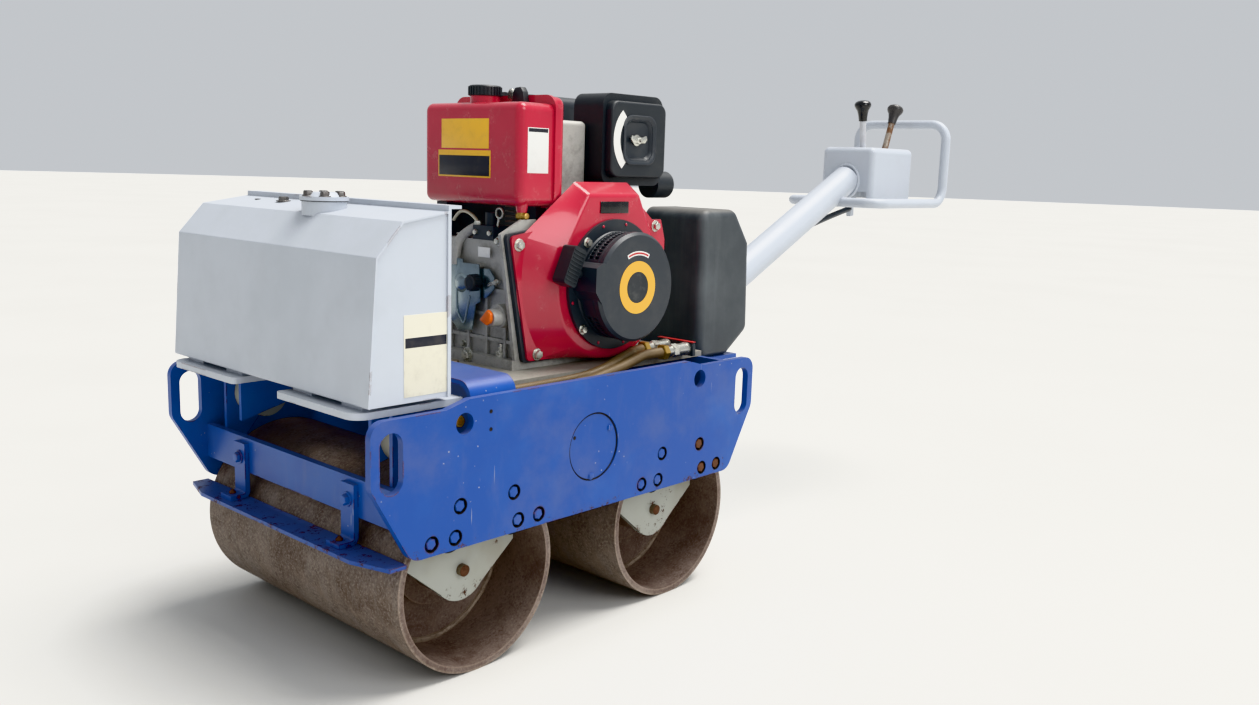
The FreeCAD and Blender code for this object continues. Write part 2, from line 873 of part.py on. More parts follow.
# drums
def drum(label, x):
    """A rolled shell with two webs and a bearing hub on each, on its own axis."""
    shell = turned(label + "_shell", [
        (S.drum_radius - S.drum_wall, -drum_half),
        (S.drum_radius, -drum_half),
        (S.drum_radius, drum_half),
        (S.drum_radius - S.drum_wall, drum_half)], (x, ZERO, axle_height))
    sub_part(shell, label + "_shell")
    bore = S.axle_radius + S.running_fit
    hub_end = web_outer + S.hub_reach
    flange_face = web_outer + S.hub_flange_thick
    webs = []
    for side, word in ((1, "left"), (-1, "right")):
        webs.append(turned(label + "_web_" + word, [
            (bore, side * web_inner),
            (S.drum_radius - S.drum_wall, side * web_inner),
            (S.drum_radius - S.drum_wall, side * web_outer),
            (S.hub_flange_radius, side * web_outer),
            (S.hub_flange_radius, side * flange_face),
            (S.hub_radius, side * flange_face),
            (S.hub_radius, side * hub_end),
            (bore, side * hub_end)], (x, ZERO, axle_height)))
    sub_part(gather(label + "_webs", webs), label + "_webs")


drum("drum_front", S.wheelbase / 2)
drum("drum_rear", -S.wheelbase / 2)


# drum hangers with their rubber buffers and stub axles
def hanger(label, x, left):
    """A grey plate with a round toe, flared up to the buffers that hold it to the side plate."""
    toe = S.hanger_toe_radius
    tangent = toe * 0.787
    drop = root(toe * toe - tangent * tangent)
    corners = [
        (-tangent, -drop),
        (tangent, -drop),
        (S.hanger_side, S.hanger_side_low),
        (S.hanger_side, S.hanger_side_high),
        (S.hanger_top_half, S.hanger_top_rise),
        (-S.hanger_top_half, S.hanger_top_rise),
        (-S.hanger_side, S.hanger_side_high),
        (-S.hanger_side, S.hanger_side_low)]
    low, high = (hanger_inner, hanger_outer) if left else (-hanger_outer, -hanger_inner)
    flared = plate(label + "_flared", "XZ_Plane", corners, low, high, offset=(x, ZERO, axle_height))
    toe_disc = rod(label + "_toe", (x, low, axle_height), toe, S.hanger_thick, "y")
    return fuse(label, [flared, toe_disc])


hanger_places = [("front", S.wheelbase / 2, True), ("front", S.wheelbase / 2, False),
                 ("rear", -S.wheelbase / 2, True), ("rear", -S.wheelbase / 2, False)]
hangers = {"front": [], "rear": []}
axles = []
buffers = []
for end, x, left in hanger_places:
    label = "hanger_" + end
    hangers[end].append(hanger(label, x, left))
    axle_start = web_inner + S.axle_inset
    axle_length = hanger_inner - axle_start
    axle_low = axle_start if left else -hanger_inner
    axles.append(rod(label + "_axle", (x, axle_low, axle_height), S.axle_radius, axle_length, "y"))
    head_low = hanger_outer if left else -(hanger_outer + S.pin_head_reach)
    axles.append(rod(label + "_axle_head", (x, head_low, axle_height), S.pin_head_radius,
                     S.pin_head_reach, "y"))
    buffer_low = hanger_outer if left else -plate_inner
    for side in (1, -1):
        buffers.append(rod(label + "_buffer", (x + side * S.buffer_spread, buffer_low,
                                              axle_height + S.buffer_rise),
                           S.buffer_radius, S.hanger_inset, "y"))
for end, pair in hangers.items():
    sub_part(gather("hangers_" + end, pair), "hangers_" + end)
sub_part(gather("stub_axles", axles), "stub_axles")
sub_part(gather("rubber_buffers", buffers), "rubber_buffers")


# frame between the side plates
def cross_bar(label, end):
    low, high = bar_face - S.bar_thick, bar_face
    if end < 0:
        low, high = -high, -low
    return block(label, (low, -plate_inner, S.bar_bottom), (high, plate_inner, S.bar_top))


cross_bars = [cross_bar("cross_bar_front", 1), cross_bar("cross_bar_rear", -1)]
sub_part(gather("cross_bars", cross_bars), "cross_bars")
cross_top = S.bed_top - S.bed_thick
cross_plates = [
    block("cross_plate_front", (bed_front - S.cross_thick, -plate_inner, cross_top - S.cross_height),
          (bed_front, plate_inner, cross_top)),
    block("cross_plate_rear", (-cross_rear_face, -plate_inner, cross_top - S.cross_height),
          (S.cross_thick - cross_rear_face, plate_inner, cross_top))]
sub_part(gather("cross_plates", cross_plates), "cross_plates")
sub_part(block("engine_bed", (-cross_rear_face, -S.bed_half_width, cross_top),
               (bed_front, S.bed_half_width, S.bed_top)), "engine_bed")

saddle_outer = [
    (-plate_inner, saddle_leg_bottom),
    (-plate_inner, saddle_top),
    (plate_inner, saddle_top),
    (plate_inner, saddle_leg_bottom),
    (plate_inner - S.saddle_thick, saddle_leg_bottom),
    (plate_inner - S.saddle_thick, saddle_top - S.saddle_thick),
    (S.saddle_thick - plate_inner, saddle_top - S.saddle_thick),
    (S.saddle_thick - plate_inner, saddle_leg_bottom)]
saddle = plate("frame_saddle", "YZ_Plane", saddle_outer, bed_front, saddle_front,
               rounds=[(S.saddle_bend, (1, 2)), (S.saddle_bend - S.saddle_thick, (5, 6))])
sub_part(saddle, "frame_saddle")

exciter = turned("exciter_housing", [
    (ZERO, -plate_inner),
    (S.exciter_flange_radius, -plate_inner),
    (S.exciter_flange_radius, S.exciter_flange_thick - plate_inner),
    (S.exciter_radius, S.exciter_flange_thick - plate_inner),
    (S.exciter_radius, plate_inner - S.exciter_flange_thick),
    (S.exciter_flange_radius, plate_inner - S.exciter_flange_thick),
    (S.exciter_flange_radius, plate_inner),
    (ZERO, plate_inner)], (ZERO, ZERO, S.exciter_height))
sub_part(exciter, "exciter_housing")

gusset_top = rail_top - S.rail_thick
gusset_face = bar_face - S.bar_thick
gusset_rear = gusset_face - S.gusset_depth
outer_gusset = [(gusset_face, S.bar_bottom + S.gusset_foot), (gusset_face, gusset_top),
                (gusset_rear, gusset_top), (gusset_rear, S.bar_top + S.gusset_notch),
                (gusset_face - S.gusset_foot_width, S.bar_bottom + S.gusset_foot)]
inner_low = gusset_top - S.gusset_inner_drop
inner_gusset = [(gusset_face, inner_low), (gusset_face, gusset_top), (gusset_rear, gusset_top),
                (gusset_rear, inner_low + S.gusset_inner_rise)]
gusset_place = plate_inner - S.gusset_inset
gusset_inner_place = plate_inner - S.gusset_inner_inset
tube_length = gusset_place - gusset_inner_place - S.gusset_thick
gussets = []
gusset_tubes = []
for side in (1, -1):
    for middle, corners in ((gusset_place, outer_gusset), (gusset_inner_place, inner_gusset)):
        near = side * middle - S.gusset_thick / 2
        gussets.append(plate("rail_gusset", "XZ_Plane", corners, near, near + S.gusset_thick))
    tube_start = gusset_inner_place + S.gusset_thick / 2
    low = tube_start if side > 0 else -(tube_start + tube_length)
    gusset_tubes.append(rod("gusset_tube", (gusset_face - S.gusset_tube_behind, low,
                                            rail_top - S.gusset_tube_drop),
                            S.gusset_tube_radius, tube_length, "y"))
sub_part(gather("rail_gussets", gussets), "rail_gussets")
sub_part(gather("gusset_tubes", gusset_tubes), "gusset_tubes")


# scrapers
def scraper(label, end, half):
    """A flat blade with tapered ends, close to the drum's face."""
    rise = axle_height - (S.blade_top - S.blade_thick / 2)
    rear = S.wheelbase / 2 + root(S.drum_radius * S.drum_radius - rise * rise) + S.blade_gap
    front = rear + S.blade_depth
    corners = [(rear, -half), (front - S.blade_taper, -half), (front, S.blade_taper_run - half),
               (front, half - S.blade_taper_run), (front - S.blade_taper, half), (rear, half)]
    corners = [(end * a, b) for a, b in corners]
    blade = plate(label, "XY_Plane", corners, S.blade_top - S.blade_thick, S.blade_top)
    return sub_part(blade, label)


scraper("scraper_front", 1, S.blade_half)
scraper("scraper_rear", -1, S.blade_rear_half)


legs = []


def scraper_legs(label, end):
    """Two L brackets from the cross bar's face down to the blade."""
    foot_end = bar_face + S.leg_foot
    corners = [(bar_face, S.blade_top), (foot_end, S.blade_top), (foot_end, S.blade_top + S.leg_thick),
               (bar_face + S.leg_thick, S.blade_top + S.leg_thick), (bar_face + S.leg_thick, S.leg_top),
               (bar_face, S.leg_top)]
    corners = [(end * a, b) for a, b in corners]
    for side in (1, -1):
        near = side * S.leg_place - S.leg_width / 2
        legs.append(plate(label + "_leg", "XZ_Plane", corners, near, near + S.leg_width,
                          rounds=[(S.leg_thick * 1.5, (0,)), (S.leg_thick * 0.5, (3,))]))


scraper_legs("bracket_front", 1)
scraper_legs("bracket_rear", -1)
sub_part(gather("scraper_brackets", legs), "scraper_brackets")

# water tank on its rails
rails = []
for side, word in ((1, "left"), (-1, "right")):
    corners = [(rail_rear, side * S.rail_inner), (rail_front, side * S.rail_inner),
               (rail_front, side * S.rail_outer), (rail_rear, side * S.rail_outer)]
    rail = plate("tank_rail_" + word, "XY_Plane", corners, rail_top - S.rail_thick, rail_top,
                 rounds=[(S.rail_corner, (2,)), (S.rail_corner / 3, (1,))])
    rails.append(rail)
sub_part(gather("tank_rails", rails), "tank_rails")
spacers = []
half_spacer = S.spacer_width / 2
for side in (1, -1):
    for back in (tank_front - S.spacer_front_inset, tank_back + S.spacer_rear_inset):
        for middle in (S.rail_inner + S.spacer_inner_gap + half_spacer,
                       S.rail_outer - S.spacer_outer_gap - half_spacer):
            near = side * middle - half_spacer
            spacers.append(block("tank_spacer", (back, near, rail_top),
                                 (back + S.spacer_length, near + S.spacer_width, tank_bottom)))
sub_part(gather("tank_spacers", spacers), "tank_spacers")

tank_corners = [(tank_back, tank_bottom), (tank_front, tank_bottom),
                (tank_front - S.tank_lean, tank_bottom + S.tank_shoulder),
                (tank_front - S.tank_lean - S.tank_chamfer_in, tank_chamfer_top),
                (tank_back, tank_back_top)]
tank_full = plate("tank_full", "XZ_Plane", tank_corners, -S.tank_half_width, S.tank_half_width,
                  rounds=[(S.tank_round, (0, 1, 2, 3))])
end_corners = [(tank_back + S.tank_lip, tank_bottom - 1), (tank_front - S.tank_lip, tank_bottom - 1),
               (tank_front - S.tank_lean - S.tank_lip, tank_bottom + S.tank_shoulder - S.tank_lip / 2),
               (tank_front - S.tank_lean - S.tank_chamfer_in - S.tank_lip / 2, tank_chamfer_top - S.tank_lip),
               (tank_back + S.tank_lip, tank_back_top - S.tank_lip)]
ends = []
for side in (1, -1):
    sunk = side * (S.tank_half_width - S.tank_end_sink)
    clear = side * (S.tank_half_width + 1)
    low, high = (sunk, clear) if side > 0 else (clear, sunk)
    ends.append(plate("tank_end", "XZ_Plane", end_corners, low, high))
tank = cut("water_tank", tank_full, gather("tank_ends", ends))
sub_part(tank, "water_tank")

plate_back = tank_back - S.back_plate_thick
fold_top = tank_back_top + S.back_plate_rise
back_corners = [(plate_back, tank_bottom), (tank_back, tank_bottom), (tank_back, fold_top),
                (plate_back - S.back_plate_fold, fold_top),
                (plate_back - S.back_plate_fold, fold_top - S.back_plate_thick),
                (plate_back, fold_top - S.back_plate_thick)]
back_half = S.tank_half_width - S.back_plate_inset
sub_part(plate("tank_back_plate", "XZ_Plane", back_corners, -back_half, back_half), "tank_back_plate")

slope_run = S.tank_depth - S.tank_lean - S.tank_chamfer_in
filler_base = tank_back_top - S.filler_inset * (tank_back_top - tank_chamfer_top) / slope_run
neck = rod("filler_neck_rod", (filler_x, S.filler_y, filler_base - S.filler_root), S.filler_radius,
           S.filler_height + S.filler_root, "z")
sub_part(cut("filler_neck", neck, tank), "filler_neck")
lid = turned("filler_lid", [
    (ZERO, ZERO), (S.lid_radius, ZERO), (S.lid_radius, S.lid_thick / 2),
    (S.lid_radius - S.lid_rim, S.lid_thick / 2), (S.lid_radius - S.lid_rim * 2, S.lid_thick),
    (ZERO, S.lid_thick)],
    (filler_x, S.filler_y, filler_base + S.filler_height), "Z_Axis")
sub_part(lid, "filler_lid")


# engine
case_outer_y = S.flange_y - S.plate_black_thick
case_base = S.bed_top
case_face = case_front - S.case_rib
case = [
    block("case_middle", (case_rear, S.case_inner_y, case_base), (case_face, case_outer_y, case_top)),
    block("case_feet", (case_rear - S.foot_reach, S.case_inner_y - S.foot_reach, case_base),
          (case_front + S.foot_reach, case_outer_y, case_base + S.foot_height))]
rim_top = crank_z + S.case_rim_rise
rim_back = S.crank_x + S.case_rim_top - S.case_rim_width
case.append(plate("case_rim", "XZ_Plane", [
    (S.crank_x + S.case_rim_low, case_base), (S.crank_x + S.case_rim_top, panel_top_z + S.control_thick),
    (S.crank_x + S.case_rim_top - S.case_rim_slope, rim_top), (rim_back, rim_top), (rim_back, case_base)],
    case_outer_y - S.case_rim_thick, case_outer_y))
rib_count = 5
rib_pitch = (case_outer_y - S.case_inner_y - S.case_rib_first - S.case_rib_last) / (rib_count - 1)
for i in range(rib_count):
    y = S.case_inner_y + S.case_rib_first + i * rib_pitch
    case.append(block("case_rib", (case_face, y, case_base + S.foot_height),
                      (case_front, y + S.case_rib_width, case_top - S.case_rib_short - i * S.case_rib_step)))
band_count = 3
for i in range(band_count):
    z = case_base + S.case_band_first + i * S.case_band_pitch
    case.append(block("case_rib", (case_face, S.case_inner_y + S.case_rib_step, z),
                      (case_front - S.case_band_inset, case_outer_y - S.case_rib_step,
                       z + S.case_band_width)))
post_z = case_base + S.post_height
for y in (S.flange_y - S.control_inner + S.post_inset, S.flange_y - S.control_outer - S.post_inset):
    case.append(rod("control_post", (case_face, y, post_z), S.post_radius, S.case_rib + S.control_stand, "x"))
plug_place = (S.flange_y - S.plug_y, case_base + S.plug_height)
case.append(rod("case_plug_boss", (case_face, *plug_place), S.boss_radius, S.boss_length, "x"))
sub_part(fuse("crankcase", case), "crankcase")

fins = [block("barrel", (S.crank_x - S.cylinder_half + S.fin_depth,
                         S.cylinder_y - S.cylinder_half_y + S.fin_depth, case_top),
              (S.crank_x + S.cylinder_half - S.fin_depth,
               S.cylinder_y + S.cylinder_half_y - S.fin_depth, cylinder_top))]
fin_start = S.fin_pitch - S.fin_thick
fin_count = int((float(S.cylinder_height) - float(fin_start)) / float(S.fin_pitch))
for i in range(fin_count):
    z = case_top + fin_start + i * S.fin_pitch
    fins.append(block("fin", (S.crank_x - S.cylinder_half, S.cylinder_y - S.cylinder_half_y, z),
                      (S.crank_x + S.cylinder_half, S.cylinder_y + S.cylinder_half_y, z + S.fin_thick)))
sub_part(fuse("cylinder", fins), "cylinder")
head = block("head_block", (head_rear, S.head_low_y, cylinder_top), (head_front, S.head_high_y, head_top))
head = soften("head_rounded", head, S.head_round, lambda edge: edge.BoundBox.ZMax > float(head_top) - 1)
sub_part(head, "cylinder_head")

# fan shroud: a pressed cowl round the fan on a flat flange, with a black plate behind it
lobe_x = S.crank_x - S.lobe_out
lobe_z = crank_z + S.lobe_top
# the edge that both plates share, from the lobe's foot up and over the neck
right_edge = [(lobe_x, crank_z - S.lobe_side), (lobe_x, lobe_z - S.lobe_width),
              (lobe_x + S.lobe_cut, lobe_z), (lobe_x + S.lobe_width, lobe_z),
              (S.crank_x - S.shroud_neck_half, shroud_neck_top - S.neck_cut),
              (S.crank_x + S.shroud_neck_half + S.neck_slope, shroud_neck_top - S.shroud_neck_half)]
black_low = panel_low_z - S.control_thick
black_corners = [(panel_top_x + S.black_margin, panel_top_z + S.control_thick),
                 (panel_low_x + S.black_margin, black_low), (lobe_x + S.lobe_side, black_low)] + right_edge
sub_part(plate("shroud_back_plate", "XZ_Plane", black_corners, case_outer_y, S.flange_y,
               rounds=[(S.control_round, (0, 1))]), "shroud_back_plate")


def shroud_ring(radius, left, right, top, left_side, y):
    """The cowl's outline at one depth: round below, with straight lines up to a neck.
    left_side gives the points of its left edge, or none where the edge stays on the round."""
    x0, z0 = float(S.crank_x), float(crank_z)
    r, rise = float(radius), float(top)

    def spot(x, z):
        return FreeCAD.Vector(x0 + x, float(y), z0 + z)

    def around(angle):
        return spot(r * math.cos(angle), r * math.sin(angle))

    def touch(x, sign):
        """The angle at which a line from a neck corner touches the round."""
        return math.atan2(rise, x) + sign * math.acos(r / math.hypot(x, rise))

    neck_left, neck_right = spot(float(left), rise), spot(-float(right), rise)
    turn_right = touch(-float(right), 1)
    bottom = math.radians(270)
    if left_side:
        toe, waist, shoulder = [spot(float(x), float(z)) for x, z in left_side]
        left_edge = Part.Arc(toe, waist, shoulder).toShape()
        floor = Part.LineSegment(around(bottom), toe).toShape()
    else:
        turn_left = touch(float(left), -1)
        turn_toe = math.radians(float(S.toe_turn))
        shoulder = around(turn_left)
        left_edge = Part.Arc(around(turn_toe), around((turn_left + turn_toe) / 2), shoulder).toShape()
        middle = (bottom + turn_toe + 2 * math.pi) / 2
        floor = Part.Arc(around(bottom), around(middle), around(turn_toe)).toShape()
    edges = [left_edge]
    edges += [Part.LineSegment(a, b).toShape() for a, b in (
        (shoulder, neck_left), (neck_left, neck_right), (neck_right, around(turn_right)))]
    edges.append(Part.Arc(around(turn_right), around((turn_right + bottom) / 2), around(bottom)).toShape())
    edges.append(floor)
    return Part.Wire(edges)


def rounded_cowl():
    """The cowl with its neck corners and its front rim rounded, as a pressing has them."""
    foot = shroud_ring(shroud_radius, S.shroud_neck_half, S.shroud_neck_half, S.shroud_neck_rise,
                       ((S.toe_out, -S.toe_drop), (S.waist_out, -S.waist_drop),
                        (S.shoulder_out, S.shoulder_rise)), S.flange_y)
    face = shroud_ring(shroud_radius - S.shroud_draft, S.neck_face_left, S.neck_face_right,
                       S.neck_face_rise, (), shroud_face_y)
    raw = Part.makeLoft([foot, face], True, True)
    front = float(shroud_face_y)
    neck_low = float(crank_z + S.neck_face_rise) - 1
    corners = [edge for edge in raw.Edges if edge.BoundBox.YLength > 10 and edge.BoundBox.ZMin > neck_low]
    cornered = raw.makeFillet(float(S.cowl_corner), corners)
    rim = [edge for edge in cornered.Edges if edge.BoundBox.YMin > front - 0.01]
    return cornered.makeFillet(float(S.cowl_rim), rim)


flange_front = S.flange_y + S.shroud_flange_thick
flange_corners = [(panel_top_x, panel_top_z), (panel_low_x, panel_low_z),
                  (lobe_x + S.lobe_side, panel_low_z)] + right_edge
shroud_flange = plate("shroud_flange", "XZ_Plane", flange_corners, S.flange_y, flange_front,
                      rounds=[(S.control_round, (0, 1))])
sub_part(fuse("fan_shroud", [shroud_flange, built("shroud_cowl", rounded_cowl())]), "fan_shroud")

recoil = turned("recoil_turned", [
    (ZERO, ZERO), (S.recoil_flange_radius, ZERO), (S.recoil_flange_radius, S.recoil_flange_thick),
    (S.recoil_body_radius + S.recoil_edge, S.recoil_flange_thick),
    (S.recoil_body_radius, S.recoil_flange_thick + S.recoil_edge),
    (S.recoil_body_radius, S.recoil_depth - S.recoil_cover_thick),
    (S.recoil_cover_radius, S.recoil_depth - S.recoil_cover_thick),
    (S.recoil_cover_radius, S.recoil_depth - S.recoil_edge),
    (S.recoil_cover_radius - S.recoil_edge, S.recoil_depth), (ZERO, S.recoil_depth)],
    (S.crank_x, shroud_face_y, crank_z))
louvres = []
louvre_low = S.recoil_flange_thick + S.recoil_edge
louvre_run = S.recoil_depth - S.recoil_cover_thick - louvre_low
for i in range(int(float(S.louvre_count))):
    angle = 360 * (i + 0.5) / float(S.louvre_count)
    slit = Part.makeBox(float(S.louvre_depth), float(louvre_run), float(S.louvre_width))
    slit.translate(FreeCAD.Vector(float(S.recoil_body_radius - S.louvre_depth) + 0.01,
                                  float(shroud_face_y + louvre_low), -float(S.louvre_width) / 2))
    slit.rotate(FreeCAD.Vector(), FreeCAD.Vector(0, 1, 0), angle)
    slit.translate(FreeCAD.Vector(float(S.crank_x), 0, float(crank_z)))
    louvres.append(slit)
starter = cut("recoil_slotted", recoil, built("recoil_louvres", Part.makeCompound(louvres)))
guide_low = shroud_face_y + S.recoil_flange_thick - 1
rope_guide = plate("rope_guide", "XZ_Plane", [
    (S.crank_x + S.guide_root, crank_z - S.guide_half), (S.crank_x + S.guide_neck, crank_z - S.guide_half / 2),
    (S.crank_x + S.guide_out, crank_z - S.guide_low), (S.crank_x + S.guide_out, crank_z + S.guide_top),
    (S.crank_x + S.guide_neck, crank_z + S.guide_half), (S.crank_x + S.guide_root, crank_z + S.guide_half)],
    guide_low, shroud_face_y + S.recoil_depth)
sub_part(fuse("recoil_starter", [starter, rope_guide]), "recoil_starter")
grip_x, grip_z = S.crank_x + S.grip_out, crank_z + S.grip_rise
grip_face = shroud_face_y + S.recoil_flange_thick + S.grip_gap
lean = math.radians(float(S.grip_lean))
down_x, down_z = S.grip_half_length * math.sin(lean), S.grip_half_length * math.cos(lean)
side_x, side_z = S.grip_half * math.cos(lean), S.grip_half * math.sin(lean)
grip_corners = [(grip_x + a * down_x + b * side_x, grip_z - a * down_z + b * side_z)
                for a, b in ((1, 1), (-1, 1), (-1, -1), (1, -1))]
grip = plate("grip_solid", "XZ_Plane", grip_corners, grip_face, grip_face + S.grip_thick,
             rounds=[(S.grip_round, (0, 1, 2, 3))])
stem_start = S.crank_x + S.guide_out + S.grip_gap
grip_stem = rod("grip_stem", (stem_start, grip_face + S.grip_thick / 2, crank_z + S.stem_rise), S.stem_radius,
                grip_x - stem_start, "x")
sub_part(fuse("recoil_grip", [grip, grip_stem]), "recoil_grip")

# fuel tank: a pressed shell with a seam flange, its back half a little higher
seam_line = float(fuel_seam_x + shift_x)
fuel = block("fuel_front_half", (fuel_seam_x, S.fuel_low_y, fuel_bottom),
             (fuel_front, S.fuel_high_y, fuel_top))
fuel = soften("fuel_front_round", fuel, S.fuel_round, lambda edge: edge.BoundBox.XMax > seam_line + 1)
fuel_rear_half = block("fuel_back_half", (fuel_back, S.fuel_low_y, fuel_bottom + S.fuel_back_lift),
                       (fuel_seam_x, S.fuel_high_y, fuel_top + S.fuel_back_rise))
fuel_rear_half = soften("fuel_back_round", fuel_rear_half, S.fuel_round,
                        lambda edge: edge.BoundBox.XMin < seam_line - 1)
seam_edge = S.fuel_seam_edge
fuel_seam = block("fuel_seam_flange",
                  (fuel_seam_x - S.fuel_seam, S.fuel_low_y - seam_edge, fuel_bottom - S.fuel_seam),
                  (fuel_seam_x + S.fuel_seam, S.fuel_high_y + seam_edge,
                   fuel_top + S.fuel_back_rise + S.fuel_seam))
fuel_seam = soften("fuel_seam_round", fuel_seam, S.fuel_seam_round, lambda edge: edge.BoundBox.XLength > 1)
cap_x = fuel_front - S.cap_inset
fuel_neck = rod("fuel_neck", (cap_x, S.cap_y, fuel_top - S.fuel_seam), S.neck_radius,
                S.neck_height + S.fuel_seam, "z")
fuel_tank = sub_part(fuse("fuel_solid", [fuel, fuel_rear_half, fuel_seam, fuel_neck]), "fuel_tank")
sub_part(rod("fuel_cap", (cap_x, S.cap_y, fuel_top + S.neck_height), S.cap_radius, S.cap_height, "z"),
         "fuel_cap")
leg_front = case_front - S.fuel_leg_inset
leg_rear = fuel_back + S.fuel_leg_inset
leg_low_y = S.fuel_low_y + S.case_rib
leg_high_y = S.fuel_high_y - S.fuel_leg_width
leg_top = fuel_bottom + S.fuel_round
fuel_legs = [
    block("fuel_leg_front", (leg_front - S.fuel_leg_length, leg_low_y, case_top),
          (leg_front, leg_low_y + S.fuel_leg_width, leg_top)),
    block("fuel_leg_rear", (leg_rear, leg_high_y - S.fuel_leg_width, case_top),
          (leg_rear + S.fuel_leg_length, leg_high_y, leg_top))]
sub_part(cut("fuel_legs_seated", gather("fuel_legs", fuel_legs), fuel_tank), "fuel_tank_legs")

# air cleaner, muffler and their pipes
shell = block("cleaner_block", (cleaner_rear, S.cleaner_low_y, cleaner_bottom),
              (cleaner_front, S.cleaner_high_y, cleaner_top))
shell = soften("cleaner_round_1", shell, S.cleaner_round, lambda edge: edge.BoundBox.YLength > 10)
cover_face_y = S.cleaner_high_y + S.cover_depth
face = block("cleaner_face", (cleaner_rear + S.cover_inset, S.cleaner_high_y - 2, cover_low),
             (cleaner_front - S.cover_inset, cover_face_y, cover_high))
face = soften("cleaner_face_round", face, S.cover_round, lambda edge: edge.BoundBox.YLength > 10)
face = soften("cleaner_face_rim", face, S.cover_edge,
              lambda edge: edge.BoundBox.YMin > float(cover_face_y) - 0.01)
dish_x = (cleaner_front + cleaner_rear) / 2
dish_z = (cover_low + cover_high) / 2
dish = block("cleaner_dish", (dish_x - S.dish_radius, cover_face_y - S.dish_depth, dish_z - S.dish_radius),
             (dish_x + S.dish_radius, cover_face_y + 1, dish_z + S.dish_radius))
dish = soften("cleaner_dish_round", dish, S.dish_corner, lambda edge: edge.BoundBox.YLength > 5)
sub_part(cut("air_cleaner", fuse("cleaner_solid", [shell, face]), dish), "air_cleaner")
duct_base = cylinder_top + S.duct_low
ducts = [block("intake_duct", (head_rear - S.duct_reach, S.head_low_y + S.duct_inset, duct_base),
               (head_rear, S.cleaner_low_y, duct_base + S.duct_tall))]
inlet_start = cleaner_rear - S.inlet_reach
inlet_y = (S.cleaner_low_y + S.cleaner_high_y) / 2 + S.inlet_offset_y
inlet_z = cleaner_bottom + S.inlet_lift
inlet = rod("inlet_rod", (inlet_start, inlet_y, inlet_z), S.inlet_radius, S.inlet_reach, "x")
inlet_bore = rod("inlet_bore", (inlet_start - 1, inlet_y, inlet_z), S.inlet_radius - S.inlet_wall,
                 S.inlet_bore_depth, "x")
inlet_open = cut("inlet_open", inlet, inlet_bore)
sub_part(cut("air_inlet", inlet_open, shell), "air_inlet")
muffler = block("muffler_block", (muffler_rear, S.muffler_low_y, muffler_bottom),
                (muffler_front, S.muffler_high_y, muffler_top))
sub_part(soften("muffler", muffler, S.muffler_round, lambda edge: edge.BoundBox.XLength > 20), "muffler")
exhaust_base = cylinder_top + S.exhaust_low
ducts.append(block("exhaust_duct", (head_rear + S.exhaust_rear_inset, S.muffler_high_y, exhaust_base),
                   (head_front - S.exhaust_front_inset, S.head_low_y, exhaust_base + S.exhaust_tall)))
sub_part(gather("head_ducts", ducts), "head_ducts")

# engine controls and fuel gear on the crankcase's front
control_inner_y = S.flange_y - S.control_inner
control_outer_y = S.flange_y - S.control_outer
control_face = case_front + S.control_stand
sub_part(plate("control_plate", "YZ_Plane", [
    (control_inner_y, case_base + S.control_low),
    (control_outer_y, case_base + S.control_low + S.control_step),
    (control_outer_y, case_base + S.control_high),
    (control_inner_y, case_base + S.control_high)], control_face, control_face + S.control_thick,
    rounds=[(S.control_round, (0, 1, 2, 3))]), "control_plate")
sub_part(rod("control_knob", (control_face + S.control_thick, S.flange_y - S.control_knob_y,
                              case_base + S.control_knob_height),
             S.control_knob_radius, S.control_knob_length, "x"), "control_knob")
sub_part(rod("oil_filler_plug", (case_face + S.boss_length, *plug_place), S.plug_radius, S.plug_length, "x"),
         "oil_filler_plug")
injection_front = case_front - S.injection_inset
injection_high_y = S.cylinder_y - S.injection_side
injection_mid_x = injection_front - S.injection_length / 2
sub_part(fuse("injection_pump", [
    block("injection_body",
          (injection_front - S.injection_length, injection_high_y - S.injection_width, case_top),
          (injection_front, injection_high_y, case_top + S.injection_height)),
    rod("injection_barrel", (injection_mid_x, injection_high_y - S.injection_width / 2,
                             case_top + S.injection_height), S.barrel_radius, S.barrel_height, "z")]),
    "injection_pump")

# oil pump on the engine's shaft end, on the right side
housing_start = S.case_inner_y - S.housing_length
housing_step = S.housing_length - S.housing_flange_thick
sub_part(turned("pump_housing", [
    (ZERO, ZERO), (S.housing_radius, ZERO), (S.housing_radius, S.housing_flange_thick),
    (S.housing_neck_radius, housing_step - S.housing_flange_thick), (S.housing_flange_radius, housing_step),
    (S.housing_flange_radius, S.housing_length), (ZERO, S.housing_length)],
    (S.crank_x, housing_start, crank_z)), "pump_housing")
sub_part(block("hydraulic_pump",
               (S.crank_x - S.pump_half_width, housing_start - S.pump_length, crank_z - S.pump_half_height),
               (S.crank_x + S.pump_half_width, housing_start, crank_z + S.pump_half_height)),
         "hydraulic_pump")

